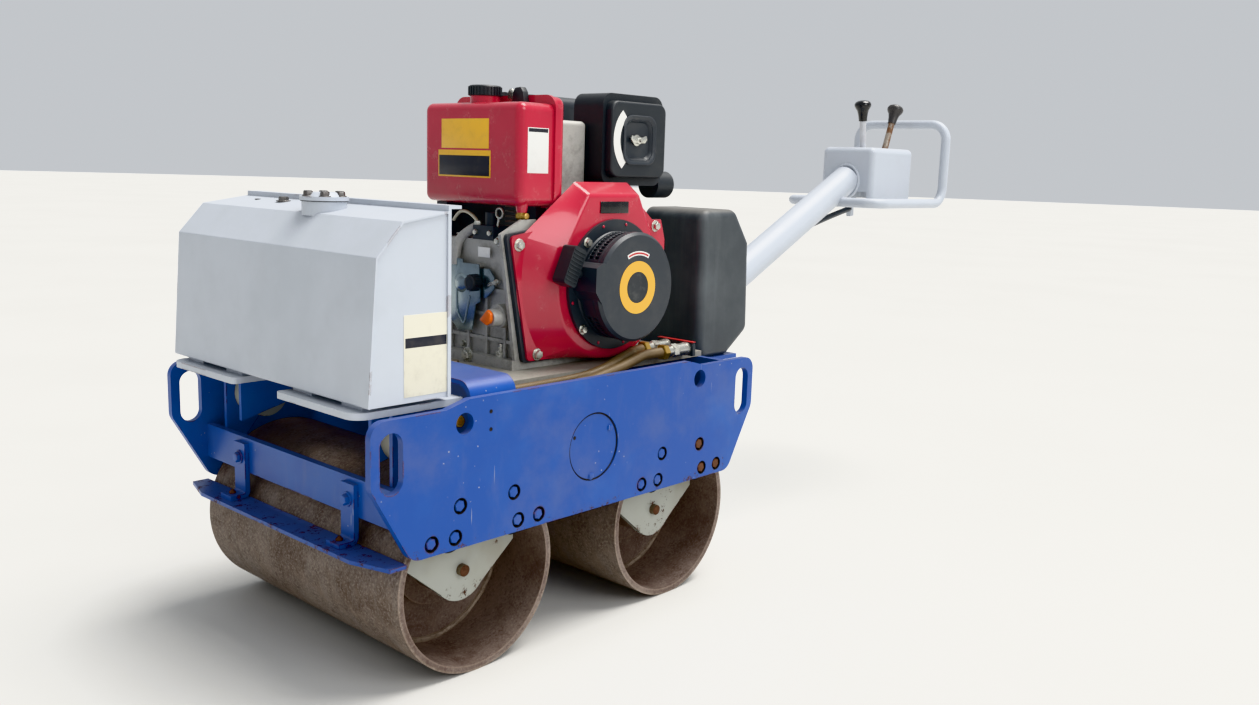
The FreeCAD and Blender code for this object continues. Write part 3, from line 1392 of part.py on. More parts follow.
# hydraulic oil tank behind the engine and its shelf
oil_corners = [(oil_tank_rear, oil_tank_bottom + S.oil_low_bevel_rise),
               (oil_tank_rear + S.oil_low_bevel_run, oil_tank_bottom),
               (oil_tank_front, oil_tank_bottom), (oil_tank_front, oil_tank_top),
               (oil_tank_rear + S.oil_top_bevel_run, oil_tank_top),
               (oil_tank_rear + S.oil_top_lean, oil_tank_top - S.oil_top_bevel_drop)]
oil = plate("oil_tank_solid", "XZ_Plane", oil_corners, S.oil_tank_inner, S.oil_tank_outer,
            rounds=[(S.oil_tank_round, (0, 2, 3, 4))])
oil_side = float(S.oil_tank_outer)
oil = soften("oil_tank_rounded", oil, S.oil_tank_edge, lambda edge: edge.BoundBox.YMin > oil_side - 0.01)
sub_part(oil, "oil_tank")
sub_part(block("oil_tank_shelf",
               (oil_tank_rear + S.shelf_short, S.oil_tank_inner, oil_tank_bottom - S.shelf_thick),
               (-cross_rear_face, S.oil_tank_outer, oil_tank_bottom)), "oil_tank_shelf")

# couplers on a bracket at the bed's edge, and the hoses from them to the exciter housing
bracket_face = S.bracket_x
bracket_top = S.bed_top + S.bracket_height
sub_part(plate("coupler_bracket", "YZ_Plane", [
    (S.bracket_low_y, S.bed_top), (S.bracket_high_y, S.bed_top), (S.bracket_high_y, bracket_top),
    (S.bracket_low_y, bracket_top)], bracket_face - S.bracket_thick, bracket_face,
    rounds=[(S.bracket_round, (2, 3))]), "coupler_bracket")
coupler_end = S.bracket_x + S.coupler_length
# each hose: y at its coupler, then the way past the bed's edge and over the exciter
hose_routes = (
    (236.0, ((-178.0, 236.0, 12.5), (-100.0, 252.0, 0.0), (-30.0, 257.0, -10.0), (24.0, 257.0, -12.0))),
    (189.0, ((-213.0, 189.0, 12.5), (-144.0, 224.0, 12.0), (-80.0, 240.0, 1.0), (-14.0, 238.0, -12.0))))
couplers = []
hoses = []
for y, way in hose_routes:
    z = float(S.bed_top + S.coupler_height)
    couplers.append(rod("hose_coupler", (S.bracket_x, y, z), S.coupler_radius, S.coupler_length, "x"))
    points = [FreeCAD.Vector(float(coupler_end), y, z)]
    points += [FreeCAD.Vector(a, b, float(S.bed_top) + c) for a, b, c in way]
    points.append(points[-1] - FreeCAD.Vector(0, 0, float(S.exciter_radius)))
    bends = (float(S.hose_bend),) * (len(points) - 3) + (float(S.hose_elbow),)
    hose = built("hydraulic_hose", bent_tube(points, bends, float(S.hose_radius)))
    hoses.append(cut("hose_seated", hose, exciter))
sub_part(gather("hose_couplers", couplers), "hose_couplers")
sub_part(gather("hydraulic_hoses", hoses), "hydraulic_hoses")

# handle bracket on the frame
ears = []
ear_inner = S.sleeve_half + S.ear_gap
for side in (1, -1):
    low = ear_inner if side > 0 else -(ear_inner + S.ear_thick)
    corners = [(-cross_rear_face, S.pivot_z - S.ear_root_low),
               (-cross_rear_face, S.pivot_z + S.ear_root_high),
               (pivot_x, S.pivot_z + S.ear_radius), (pivot_x - S.ear_radius, S.pivot_z),
               (pivot_x, S.pivot_z - S.ear_radius)]
    ears.append(plate("handle_ear", "XZ_Plane", corners, low, low + S.ear_thick,
                      holes=[(pivot_x, S.pivot_z, S.pivot_pin_radius)], rounds=[(S.ear_round, (3,))]))
sub_part(gather("handle_ears", ears), "handle_ears")
pin_half = ear_inner + S.ear_thick + S.pin_overhang
sub_part(rod("handle_pin", (pivot_x, -pin_half, S.pivot_z), S.pivot_pin_radius, pin_half * 2, "y"),
         "handle_pin")

# handle
reach = root(S.handle_run * S.handle_run + S.handle_rise * S.handle_rise)
main_tube = doc.addObject("Part::Cylinder", "main_tube")
bind(main_tube, "Radius", S.tube_radius)
bind(main_tube, "Height", reach)
tilt = math.degrees(math.atan2(float(S.handle_run), float(S.handle_rise)))
main_tube.Placement = FreeCAD.Placement(FreeCAD.Vector(), FreeCAD.Rotation(FreeCAD.Vector(0, 1, 0), -tilt))
place(main_tube, shift_x + pivot_x, ZERO, S.pivot_z)
sleeve = rod("handle_sleeve", (pivot_x, -S.sleeve_half, S.pivot_z), S.sleeve_radius, S.sleeve_half * 2, "y")
sleeve_bore = rod("handle_bore", (pivot_x, -S.sleeve_half - 1, S.pivot_z), S.pivot_pin_radius + S.running_fit,
                  S.sleeve_half * 2 + 2, "y")
span = S.tube_radius * 2
heel_cut = cut("handle_tube_free", main_tube, block(
    "handle_heel_block", (pivot_x - S.heel_clearance, -span, S.pivot_z - span),
    (pivot_x + span, span, S.pivot_z + span)))
box_front_block = block("box_front_space", (tube_end_x - span, -span, tube_end_z - span),
                        (tube_end_x, span, tube_end_z + span))
tube_solid = fuse("handle_tube_solid", [cut("handle_tube_faced", heel_cut, box_front_block), sleeve])
bar_space = rod("bar_space", (bar_front_x, -S.bar_half, bar_low_z), S.bar_radius, S.bar_half * 2, "y")
sub_part(cut("handle_tube", cut("handle_tube_bored", tube_solid, sleeve_bore), bar_space), "handle_tube")

box_low = (tube_end_x - S.box_length, -S.box_half_width, box_bottom)
box_high = (tube_end_x, S.box_half_width, box_top)


def upper_edges(top):
    """Picks a box's upright edges and those of its top."""
    return lambda edge: edge.BoundBox.ZLength > 20 or edge.BoundBox.ZMin > float(top) - 1


control = soften("control_round", block("control_block", box_low, box_high), S.box_round,
                 upper_edges(box_top))
hollow_top = box_top - S.box_wall
hollow = block("control_hollow", (box_low[0] + S.box_wall, box_low[1] + S.box_wall, box_bottom - 1),
               (tube_end_x - S.box_wall, S.box_half_width - S.box_wall, hollow_top))
hollow = soften("control_hollow_round", hollow, S.box_round - S.box_wall, upper_edges(hollow_top))
front_space = block("control_front_space", (tube_end_x - S.box_wall - 1, S.box_round - S.box_half_width,
                                            box_bottom - 1),
                    (tube_end_x + 1, S.box_half_width - S.box_round, box_bottom + S.box_front_lift))
sub_part(cut("control_box", cut("control_shell", control, hollow), front_space), "control_box")


def hand_bar_shape():
    """A closed bar: two side runs that turn up into an upright hoop at the operator's end."""
    front, rear = float(bar_front_x), float(bar_rear_x)
    half, low, high = float(S.bar_half), float(bar_low_z), float(bar_high_z)
    bend = float(S.bar_corner)
    halves = []
    for side in (1, -1):
        points = [FreeCAD.Vector(front, 0, low), FreeCAD.Vector(front, side * half, low),
                  FreeCAD.Vector(rear, side * half, low), FreeCAD.Vector(rear, side * half, high),
                  FreeCAD.Vector(rear, 0, high)]
        halves.append(bent_tube(points, (bend, bend, bend), float(S.bar_radius)))
    return halves[0].fuse(halves[1]).removeSplitter()


sub_part(built("hand_bar", hand_bar_shape()), "hand_bar")
stems = []
knobs = []
for inset, lean in ((S.lever_front_inset, S.lever_front_lean), (S.lever_rear_inset, S.lever_rear_lean)):
    foot = FreeCAD.Vector(float(tube_end_x - inset), 0, float(box_top - S.lever_root))
    top = FreeCAD.Vector(foot.x + float(lean), 0, float(box_top + S.lever_height))
    along = (top - foot).normalize()
    stem = built("lever_rod", Part.makeCylinder(float(S.lever_radius), (top - foot).Length, foot, along))
    stems.append(cut("lever_stem", stem, control))
    knobs.append(built("lever_knob", Part.makeCone(float(S.knob_low_radius), float(S.knob_high_radius),
                                                  float(S.knob_length), top, along)))
sub_part(gather("lever_stems", stems), "lever_stems")
sub_part(gather("lever_knobs", knobs), "lever_knobs")

doc.recompute()
for thing in doc.Objects:
    if "Invalid" in thing.State or "Error" in thing.State:
        raise RuntimeError("failed: " + thing.Label)
for thing in sub_parts:
    if thing.Shape.isNull() or not thing.Shape.isValid() or not thing.Shape.Solids:
        raise RuntimeError("bad shape: " + thing.Label)

os.makedirs("parts", exist_ok=True)
for thing in sub_parts:
    thing.Shape.exportStep("parts/" + thing.Label + ".step")
print(len(sub_parts), "sub-parts")
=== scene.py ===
# Walk-behind double-drum roller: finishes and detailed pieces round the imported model.
# Metres. +X is the front with the water tank, +Y the left side, +Z up; the drums stand on z = 0.

import json
import math

import bmesh
import bpy
from mathutils import Matrix, Vector


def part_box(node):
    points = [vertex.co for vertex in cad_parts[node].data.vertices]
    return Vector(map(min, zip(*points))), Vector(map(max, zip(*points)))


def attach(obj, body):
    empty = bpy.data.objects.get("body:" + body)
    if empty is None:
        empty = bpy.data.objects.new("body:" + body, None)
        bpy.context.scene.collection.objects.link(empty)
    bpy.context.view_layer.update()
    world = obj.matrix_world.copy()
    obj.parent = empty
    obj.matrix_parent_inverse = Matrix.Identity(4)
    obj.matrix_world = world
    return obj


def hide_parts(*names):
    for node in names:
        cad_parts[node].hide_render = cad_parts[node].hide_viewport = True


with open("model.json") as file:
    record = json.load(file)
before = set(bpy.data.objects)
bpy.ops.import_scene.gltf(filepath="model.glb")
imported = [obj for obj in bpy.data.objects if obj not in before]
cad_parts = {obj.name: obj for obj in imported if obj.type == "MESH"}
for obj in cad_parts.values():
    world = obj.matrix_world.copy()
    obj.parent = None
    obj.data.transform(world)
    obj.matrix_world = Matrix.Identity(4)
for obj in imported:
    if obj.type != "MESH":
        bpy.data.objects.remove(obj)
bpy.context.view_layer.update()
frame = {"nodes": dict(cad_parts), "record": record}
NODES = frame["nodes"]

# Places that the finishes and pieces share, from the model's own boxes
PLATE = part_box("side_plate_left")
MIDDLE_X = (PLATE[0][0] + PLATE[1][0]) / 2
DRUM_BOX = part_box("drum_front_shell")
DRUM_RADIUS = (DRUM_BOX[1][2] - DRUM_BOX[0][2]) / 2
AXLE_Z = (DRUM_BOX[1][2] + DRUM_BOX[0][2]) / 2
FRONT_AXLE = (DRUM_BOX[1][0] + DRUM_BOX[0][0]) / 2
REAR_AXLE = 2 * MIDDLE_X - FRONT_AXLE


# Shader maths
class Flow:
    """A value on its way between shader nodes; operators add the nodes that work it out."""

    def __init__(self, finish, socket):
        self.finish = finish
        self.socket = socket

    def __add__(self, other):
        return self.finish.maths("ADD", self, other)

    __radd__ = __add__

    def __sub__(self, other):
        return self.finish.maths("SUBTRACT", self, other)

    def __rsub__(self, other):
        return self.finish.maths("SUBTRACT", other, self)

    def __mul__(self, other):
        return self.finish.maths("MULTIPLY", self, other)

    def __pow__(self, other):
        return self.finish.maths("POWER", self, other)

    def over(self, low, high):
        """0 below low, 1 above high, with a soft step between."""
        return self.finish.node("ShaderNodeMapRange", {"interpolation_type": "SMOOTHSTEP"},
                                {"Value": self, "From Min": low, "From Max": high})

    def under(self, low, high):
        """1 below low, 0 above high."""
        return 1 - self.over(low, high)


class Finish:
    """A procedural material that is being built."""

    def __init__(self, name):
        self.material = bpy.data.materials.new(name)
        self.material.use_nodes = True
        self.tree = self.material.node_tree
        self.shader = self.tree.nodes["Principled BSDF"]
        self.place = self.node("ShaderNodeTexCoord", out="Object")
        split = self.node("ShaderNodeSeparateXYZ", {}, {"Vector": self.place}, out=None)
        self.x, self.y, self.z = (Flow(self, split.outputs[axis]) for axis in "XYZ")
        shape = self.node("ShaderNodeNewGeometry", out=None)
        self.normal = Flow(self, shape.outputs["Normal"])
        faces = self.node("ShaderNodeSeparateXYZ", {}, {"Vector": self.normal}, out=None)
        self.up = Flow(self, faces.outputs["Z"])

    def node(self, kind, settings=None, inputs=None, out=0):
        """Adds a node, sets it, then feeds it; out=None gives the node itself."""
        made = self.tree.nodes.new(kind)
        for key, value in (settings or {}).items():
            setattr(made, key, value)
        for key, value in (inputs or {}).items():
            self.feed(made.inputs[key], value)
        return made if out is None else Flow(self, made.outputs[out])

    def feed(self, socket, value):
        """Links a worked-out value to a socket, or sets a plain one on it."""
        if isinstance(value, Flow):
            self.tree.links.new(value.socket, socket)
        else:
            socket.default_value = value

    def maths(self, operation, a, b):
        """One step of arithmetic on two values."""
        return self.node("ShaderNodeMath", {"operation": operation}, {0: a, 1: b})

    def most(self, a, b):
        """The larger of two values."""
        return self.maths("MAXIMUM", a, b)

    def mix(self, share, a, b):
        """A colour between a and b."""
        made = self.node("ShaderNodeMix", {"data_type": "RGBA"}, {0: share, 6: a, 7: b}, out=None)
        return Flow(self, made.outputs[2])

    def stretched(self, scale, turn=(0, 0, 0)):
        """Object coordinates with a scale of their own for each axis."""
        return self.node("ShaderNodeMapping", {}, {"Vector": self.place, "Scale": scale, "Rotation": turn})

    def noise(self, scale, detail=3.0, rough=0.55, where=None):
        """Clouds in object coordinates, from 0 to 1."""
        return self.node("ShaderNodeTexNoise", {}, {
            "Vector": where or self.place, "Scale": scale, "Detail": detail, "Roughness": rough})

    def cells(self, scale):
        """Distance to the nearest of many scattered points."""
        return self.node("ShaderNodeTexVoronoi", {}, {"Vector": self.place, "Scale": scale})

    def edges(self, reach):
        """1 on outer and inner edges within reach, 0 on flat faces."""
        soft = self.node("ShaderNodeBevel", {"samples": 4}, {"Radius": reach})
        alike = self.node("ShaderNodeVectorMath", {"operation": "DOT_PRODUCT"},
                          {0: soft, 1: self.normal}, out="Value")
        return (1 - alike).over(0.01, 0.12)

    def bump(self, height, strength, distance=0.001, under=None):
        """Fine relief, on top of an earlier one where under gives it."""
        inputs = {"Height": height, "Strength": strength, "Distance": distance}
        if under:
            inputs["Normal"] = under
        return self.node("ShaderNodeBump", {}, inputs)

    def done(self, colour, rough, metal=0.0, coat=0.0, coat_rough=0.1, normal=None):
        """Feeds the shader and gives the finished material."""
        for name, value in (("Base Color", colour), ("Roughness", rough), ("Metallic", metal),
                            ("Coat Weight", coat), ("Coat Roughness", coat_rough), ("Normal", normal)):
            if value is not None:
                self.feed(self.shader.inputs[name], value)
        return self.material


def rgb(red, green, blue):
    """A colour given in screen values from 0 to 255."""
    return tuple(((c / 255 + 0.055) / 1.055) ** 2.4 if c > 10 else c / 255 / 12.92
                 for c in (red, green, blue)) + (1.0,)


RUST = rgb(112, 62, 36)
DARK_RUST = rgb(62, 36, 25)
DUST = rgb(150, 142, 130)
PRIMER = rgb(176, 178, 176)


def painted(name, base, faded, gloss, chips, dust, coat, nicks, low_rust=None, rusty_places=()):
    """Paint on steel: faded patches, washed-down dirt, small nicks, and worn edges with rust in patches."""
    f = Finish(name)
    colour = f.mix(f.noise(5.0, 4.0, 0.6).over(0.42, 0.68) * 0.7, base, faded)
    grain = f.noise(60.0, 5.0, 0.62)
    fine = f.noise(420.0, 3.0, 0.6)
    washed = f.noise(1.0, 4.0, 0.62, f.stretched((26.0, 26.0, 9.0))).over(0.52, 0.85)
    lying = f.up.over(0.4, 0.95) * (0.35 + grain * 0.5)
    film = f.noise(9.0, 5.0, 0.65).over(0.45, 0.75) * 0.35
    dusty = f.most(f.most(lying, film), washed * 0.3)
    colour = f.mix(dusty * dust, colour, DUST)
    patch = f.noise(7.0, 3.0).over(0.5, 0.6)
    small = f.cells(64.0).under(0.05, 0.11) * fine.over(0.44, 0.52)
    lines = f.noise(2.2, 2.0, 0.5, f.stretched((90.0, 90.0, 6.0), (0.5, 0.9, 0.4))).over(0.74, 0.755)
    marks = f.most(small, lines * 0.6) * patch
    colour = f.mix(marks * nicks, colour, PRIMER)
    edge = f.edges(0.004) * f.noise(15.0, 3.0).over(0.5, 0.62)
    worn = (edge * 0.75 + fine * 0.3 + grain * 0.4).over(0.78, 0.9) * chips
    spots = (grain * 0.7 + fine * 0.35).over(0.735, 0.765) * chips
    if low_rust is not None:
        low = f.z.under(low_rust - 0.03, low_rust + 0.015)
        spots = f.most(spots, (low * 0.3 + grain * 0.6 + fine * 0.3).over(0.78, 0.86))
    for place_x, place_z, reach in rusty_places:
        away = ((f.x - place_x) * (f.x - place_x) + (f.z - place_z) * (f.z - place_z)) ** 0.5
        near = away.under(reach * 0.2, reach) * 0.3
        spots = f.most(spots, (near + grain * 0.55 + fine * 0.25).over(0.74, 0.82))
    bare = f.most(worn, spots)
    colour = f.mix(bare, colour, f.mix(fine.over(0.4, 0.6), RUST, DARK_RUST))
    rough = gloss + dusty * 0.3 * dust + film * 0.3 + bare * 0.35
    relief = f.bump(fine, 0.06, 0.0004)
    relief = f.bump(bare * -1.0, 0.5, 0.0004, relief)
    return f.done(colour, rough, 0.0, coat, 0.25, relief)


def red_gloss():
    """Smooth red enamel with a little dust."""
    f = Finish("red_enamel")
    colour = f.mix(f.noise(4.0).over(0.35, 0.7), rgb(186, 42, 64), rgb(170, 34, 56))
    dust = (f.noise(26.0, 6.0, 0.7).over(0.5, 0.8) * 0.5 + f.up.over(0.5, 1.0) * 0.25) * 0.35
    colour = f.mix(dust, colour, rgb(188, 150, 145))
    edge = f.edges(0.003) * (f.noise(140.0, 4.0).over(0.62, 0.7))
    colour = f.mix(edge * 0.8, colour, rgb(60, 30, 28))
    relief = f.bump(f.noise(700.0, 2.0), 0.05, 0.0002)
    return f.done(colour, 0.24 + dust * 0.6, 0.0, 0.55, 0.08, relief)


def satin(name, base, dusty, gloss, grain_scale, strength, dust, coat=0.0):
    """Black paint, plastic or rubber with a fine grain and a film of dust."""
    f = Finish(name)
    film = f.noise(16.0, 6.0, 0.68).over(0.42, 0.78)
    lying = f.up.over(0.3, 0.95) * 0.6
    share = f.most(film, lying) * dust
    colour = f.mix(share, base, dusty)
    rub = f.edges(0.003) * f.noise(80.0, 4.0).over(0.5, 0.7)
    colour = f.mix(rub * 0.35, colour, dusty)
    relief = f.bump(f.noise(grain_scale, 3.0, 0.6), strength, 0.0004)
    return f.done(colour, gloss + share * 0.5, 0.0, coat, 0.2, relief)


def moulded_tank():
    """Dark moulded plastic with pale upright scuffs towards its front edge."""
    f = Finish("scuffed_tank")
    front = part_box("oil_tank")[1][0]
    upright = f.noise(1.0, 5.0, 0.7, f.stretched((60.0, 60.0, 4.0)))
    broad = f.noise(7.0, 4.0, 0.6)
    near = f.x.over(front - 0.10, front - 0.02) * 0.16
    scuff = (upright * 0.4 + broad * 0.5 + near).over(0.5, 0.85)
    colour = f.mix(f.noise(12.0, 5.0, 0.65).over(0.35, 0.7) * 0.5, rgb(64, 69, 73), rgb(84, 89, 93))
    colour = f.mix(scuff * 0.3, colour, rgb(132, 138, 140))
    colour = f.mix(f.edges(0.01) * 0.15, colour, rgb(150, 152, 150))
    colour = f.mix(f.up.over(0.5, 1.0) * 0.35, colour, DUST)
    relief = f.bump(upright, 0.08, 0.0006)
    relief = f.bump(f.noise(600.0, 3.0), 0.1, 0.0003, relief)
    return f.done(colour, 0.44 + scuff * 0.2, 0.0, 0.0, 0.2, relief)


def drum_steel(name, centre_x):
    """Rolled steel with a speckled grey-brown skin outside and darker rust inside."""
    f = Finish(name)
    dx = f.x - centre_x
    dz = f.z - AXLE_Z
    reach = (dx * dx + dz * dz) ** 0.5
    outer = reach.over(DRUM_RADIUS - 0.004, DRUM_RADIUS - 0.002)
    blotch = f.noise(7.0, 6.0, 0.7)
    coarse = f.noise(34.0, 6.0, 0.72)
    grain = f.noise(230.0, 6.0, 0.8)
    angle = f.maths("ARCTAN2", dz, dx)
    round_way = f.node("ShaderNodeCombineXYZ", {}, {"X": angle * 1.5, "Y": f.y * 40.0, "Z": reach * 20.0})
    rubbed = f.noise(1.0, 4.0, 0.65, round_way).over(0.45, 0.75)
    colour = f.mix(blotch.over(0.36, 0.64), rgb(136, 124, 114), rgb(108, 94, 84))
    inside = f.mix(blotch.over(0.36, 0.64), rgb(128, 114, 106), rgb(98, 82, 75))
    colour = f.mix(outer, inside, colour)
    colour = f.mix(coarse.over(0.46, 0.7) * (0.25 + outer * 0.35), colour, rgb(142, 126, 112))
    colour = f.mix(grain.over(0.5, 0.66) * (0.3 + outer * 0.35), colour, rgb(172, 160, 148))
    colour = f.mix((coarse * 0.35 + grain * 0.65).under(0.38, 0.5) * 0.6, colour, rgb(70, 52, 44))
    shine = rubbed * outer * 0.35
    colour = f.mix(shine, colour, rgb(150, 142, 134))
    colour = f.mix(f.edges(0.005) * 0.5, colour, rgb(158, 140, 126))
    relief = f.bump(coarse, 0.35, 0.0012)
    relief = f.bump(grain, 0.3, 0.0006, relief)
    return f.done(colour, 0.72 - shine * 0.4, 0.12 + shine * 0.6, 0.0, 0.1, relief)


def bare_metal(name, base, grime, gloss, metal, scale, dirt, bumpy):
    """Bare or cast metal with grime in patches."""
    f = Finish(name)
    cloud = f.noise(scale, 6.0, 0.7)
    broad = f.noise(scale / 5, 3.0, 0.6)
    dirty = (cloud * 0.6 + broad * 0.5).over(0.5, 0.72) * dirt
    colour = f.mix(dirty, base, grime)
    fine = f.noise(scale * 12, 3.0, 0.65)
    colour = f.mix(fine.over(0.45, 0.75) * 0.25, colour, grime)
    relief = f.bump(cloud, bumpy, 0.0008)
    relief = f.bump(fine, bumpy * 0.6, 0.0003, relief)
    return f.done(colour, gloss + dirty * 0.3, metal - dirty * 0.5 * metal, 0.0, 0.1, relief)


def ribbed_hose():
    """Bronze hose with fine ribs round it."""
    f = Finish("hose_bronze_ribbed")
    rib = f.maths("SINE", f.x * 2000.0, 0.0)
    cloud = f.noise(40.0, 4.0, 0.65)
    colour = f.mix(cloud.over(0.4, 0.7) * 0.5, rgb(108, 90, 64), rgb(84, 68, 48))
    colour = f.mix(rib.over(-0.2, 0.9) * 0.35, colour, rgb(146, 128, 98))
    return f.done(colour, 0.42 + cloud * 0.15, 0.1, 0.15, 0.2, f.bump(rib, 0.5, 0.0004))


def plain(name, base, gloss, metal=0.0, coat=0.0, speck=0.2, scale=90.0):
    """A small part's finish: slight wear and dust over one colour."""
    f = Finish(name)
    worn = f.noise(scale, 5.0, 0.68).over(0.45, 0.75)
    colour = f.mix(worn * speck, base, rgb(120, 112, 104))
    relief = f.bump(f.noise(scale * 6, 3.0), 0.08, 0.0003)
    return f.done(colour, gloss + worn * 0.2, metal, coat, 0.12, relief)


# The finishes of the material slots. After the colours stand, in this order, for satin: gloss, the grain's
# scale and strength, dust, coat; for bare_metal: gloss, metal, scale of the clouds, dirt, relief; for plain:
# gloss, metal, coat, specks, their scale. A rusty place is its x, its z and its reach in metres.
M = {
    "blue_paint": painted(
        "blue_paint_worn", rgb(18, 72, 152), rgb(32, 88, 166), gloss=0.36, chips=0.8, dust=0.35, coat=0.15,
        low_rust=PLATE[0][2] + 0.03, nicks=0.8, rusty_places=[
            (MIDDLE_X - 0.345, 0.224, 0.05), (MIDDLE_X - 0.30, 0.228, 0.035),
            (MIDDLE_X - 0.275, 0.286, 0.026), (MIDDLE_X + 0.425, 0.425, 0.03),
            (MIDDLE_X - 0.405, 0.335, 0.018)]),
    "light_paint": painted(
        "light_paint_worn", rgb(189, 195, 204), rgb(180, 186, 194), gloss=0.4, chips=0.6, dust=0.18, coat=0.1,
        nicks=0.1),
    "grey_paint": painted(
        "grey_paint_rusty", rgb(168, 170, 162), rgb(146, 140, 124), gloss=0.6, chips=1.0, dust=0.4, coat=0.0,
        low_rust=AXLE_Z, nicks=0.2, rusty_places=[
            (FRONT_AXLE - 0.07, 0.20, 0.09), (REAR_AXLE - 0.02, 0.16, 0.1), (FRONT_AXLE, 0.12, 0.05)]),
    "red_paint": red_gloss(),
    "black_paint": satin("black_paint_satin", rgb(50, 55, 61), rgb(96, 96, 94), 0.38, 500.0, 0.08, 0.25, 0.1),
    "drum_front": drum_steel("drum_steel_front", FRONT_AXLE),
    "drum_rear": drum_steel("drum_steel_rear", REAR_AXLE),
    "worn_steel": bare_metal("worn_steel_bed", rgb(158, 155, 146), rgb(96, 88, 78), 0.6, 0.15, 16.0, 0.6,
                             0.2),
    "bright_metal": bare_metal("zinc_bright", rgb(196, 196, 190), rgb(120, 112, 98), 0.3, 0.9, 60.0, 0.4,
                               0.08),
    "aluminium": bare_metal("cast_aluminium", rgb(182, 181, 176), rgb(92, 86, 80), 0.5, 0.3, 70.0, 0.4, 0.4),
    "cast_iron": bare_metal("cast_iron_dark", rgb(56, 58, 60), rgb(36, 30, 27), 0.55, 0.3, 50.0, 0.6, 0.4),
    "rubber": satin("rubber_matt", rgb(22, 22, 22), rgb(104, 96, 86), 0.7, 300.0, 0.25, 0.45),
    "hose_rubber": ribbed_hose(),
    "black_plastic": satin("black_plastic_grained", rgb(46, 50, 54), rgb(92, 92, 90), 0.42, 700.0, 0.16, 0.2),
    "tank_plastic": moulded_tank(),
    "orange_plastic": plain("orange_plug", rgb(236, 110, 24), 0.35, 0.0, 0.2),
}

# Finishes of small pieces
F = {
    "rusted": bare_metal("steel_rusted", rgb(104, 72, 54), rgb(54, 36, 28), 0.72, 0.25, 90.0, 0.7, 0.4),
    # Near-black finish: grime and dark rubber on the lid gasket, small plug and inlet foam; painted shade in
    # the bolts' sunk places, the small holes and the cover's outline.
    "grime": plain("dark_grime_and_painted_shade", rgb(26, 23, 21), 0.8, 0.0, 0.0, 0.25),
    "brass": bare_metal("brass_dull", rgb(198, 164, 98), rgb(108, 84, 50), 0.34, 0.9, 120.0, 0.45, 0.1),
    "weld": bare_metal("weld_bead", rgb(150, 136, 122), rgb(88, 70, 58), 0.6, 0.35, 160.0, 0.6, 0.5),
    "zinc": bare_metal("zinc_fasteners", rgb(208, 208, 200), rgb(122, 114, 98), 0.27, 0.9, 110.0, 0.4, 0.08),
    "old_bolt": bare_metal("fasteners_old", rgb(146, 134, 118), rgb(88, 66, 48), 0.45, 0.7, 110.0, 0.6, 0.2),
    "cream": plain("plate_cream", rgb(226, 222, 205), 0.45, 0.0, 0.1, 0.18, 60.0),
    "white": plain("plate_white", rgb(235, 235, 231), 0.42, 0.0, 0.1, 0.15, 60.0),
    "yellow": plain("plate_yellow", rgb(237, 184, 62), 0.4, 0.0, 0.15, 0.12, 60.0),
    "dark_print": plain("plate_dark", rgb(34, 36, 46), 0.42, 0.0, 0.15, 0.15, 60.0),
    # A red label colour; on the couplers' bracket it is a painted reddish highlight.
    "red_label_and_highlight": plain("plate_red_and_painted_highlight", rgb(178, 52, 52), 0.45, 0.0, 0.1, 0.2, 60.0),
    "black_gloss": plain("plastic_black_gloss", rgb(20, 21, 23), 0.22, 0.0, 0.4, 0.1, 60.0),
    "brown_knob": plain("knob_faded", rgb(62, 60, 60), 0.42, 0.0, 0.2, 0.25, 70.0),
    "clear_hose": plain("hose_clear", rgb(196, 190, 168), 0.25, 0.0, 0.5, 0.2, 120.0),
    "chromate": bare_metal("steel_blue_chromate", rgb(150, 163, 168), rgb(100, 108, 110), 0.24, 0.9, 14.0,
                           0.35, 0.04),
    "dark_bolt": bare_metal("fasteners_dark", rgb(122, 120, 118), rgb(64, 52, 46), 0.35, 0.8, 110.0, 0.5,
                            0.2),
}


def dress(name, material):
    """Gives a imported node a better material."""
    node = NODES[name]
    if node.material_slots:
        for place in node.material_slots:
            place.material = material
    else:
        node.data.materials.append(material)


for part in frame["record"]["subparts"]:
    slot = "light_paint" if part["node"] == "filler_lid" else part["material_slot"]
    if slot == "drum_steel":
        slot = "drum_front" if "front" in part["node"] else "drum_rear"
    dress(part["node"], M[slot])


def lever_steel():
    """Pale paint on the front stem, rust and bare steel on the rear one."""
    f = Finish("lever_steel")
    rear = f.x.under(MIDDLE_X - 1.345, MIDDLE_X - 1.335)
    cloud = f.noise(50.0, 5.0, 0.7)
    rusty = cloud.over(0.4, 0.58) * (0.1 + rear * 0.8)
    colour = f.mix(rusty, f.mix(rear, rgb(196, 198, 202), rgb(160, 150, 138)), rgb(118, 82, 56))
    return f.done(colour, 0.42 + rusty * 0.3, rear * 0.3, 0.0, 0.1, f.bump(cloud, 0.2, 0.0006))


dress("lever_stems", lever_steel())

# Modelling. Places are in millimetres, with x counted from midway between the drum axles.
CRANK_X, CRANK_Z = -137, 567        # the middle of the engine's crankshaft
LEFT, RIGHT, AHEAD, BACK, UP, DOWN = (Vector(way) for way in (
    (0, 1, 0), (0, -1, 0), (1, 0, 0), (-1, 0, 0), (0, 0, 1), (0, 0, -1)))


def spot(x, y, z):
    """A place of the machine as a vector in metres."""
    return Vector((MIDDLE_X + x / 1000, y / 1000, z / 1000))


def shifted(x=0.0, y=0.0, z=0.0):
    """A move by millimetres, as a matrix."""
    return Matrix.Translation(Vector((x, y, z)) / 1000)


CRANK = spot(CRANK_X, 0, CRANK_Z)
HALF_TURN = shifted(2000 * MIDDLE_X) @ Matrix.Rotation(math.pi, 4, "Z")     # about the machine's middle


def turned_about(centre, angle, axis):
    """A turn in degrees about a point of the machine."""
    turn = Matrix.Rotation(math.radians(angle), 4, axis)
    return Matrix.Translation(centre) @ turn @ Matrix.Translation(-centre)


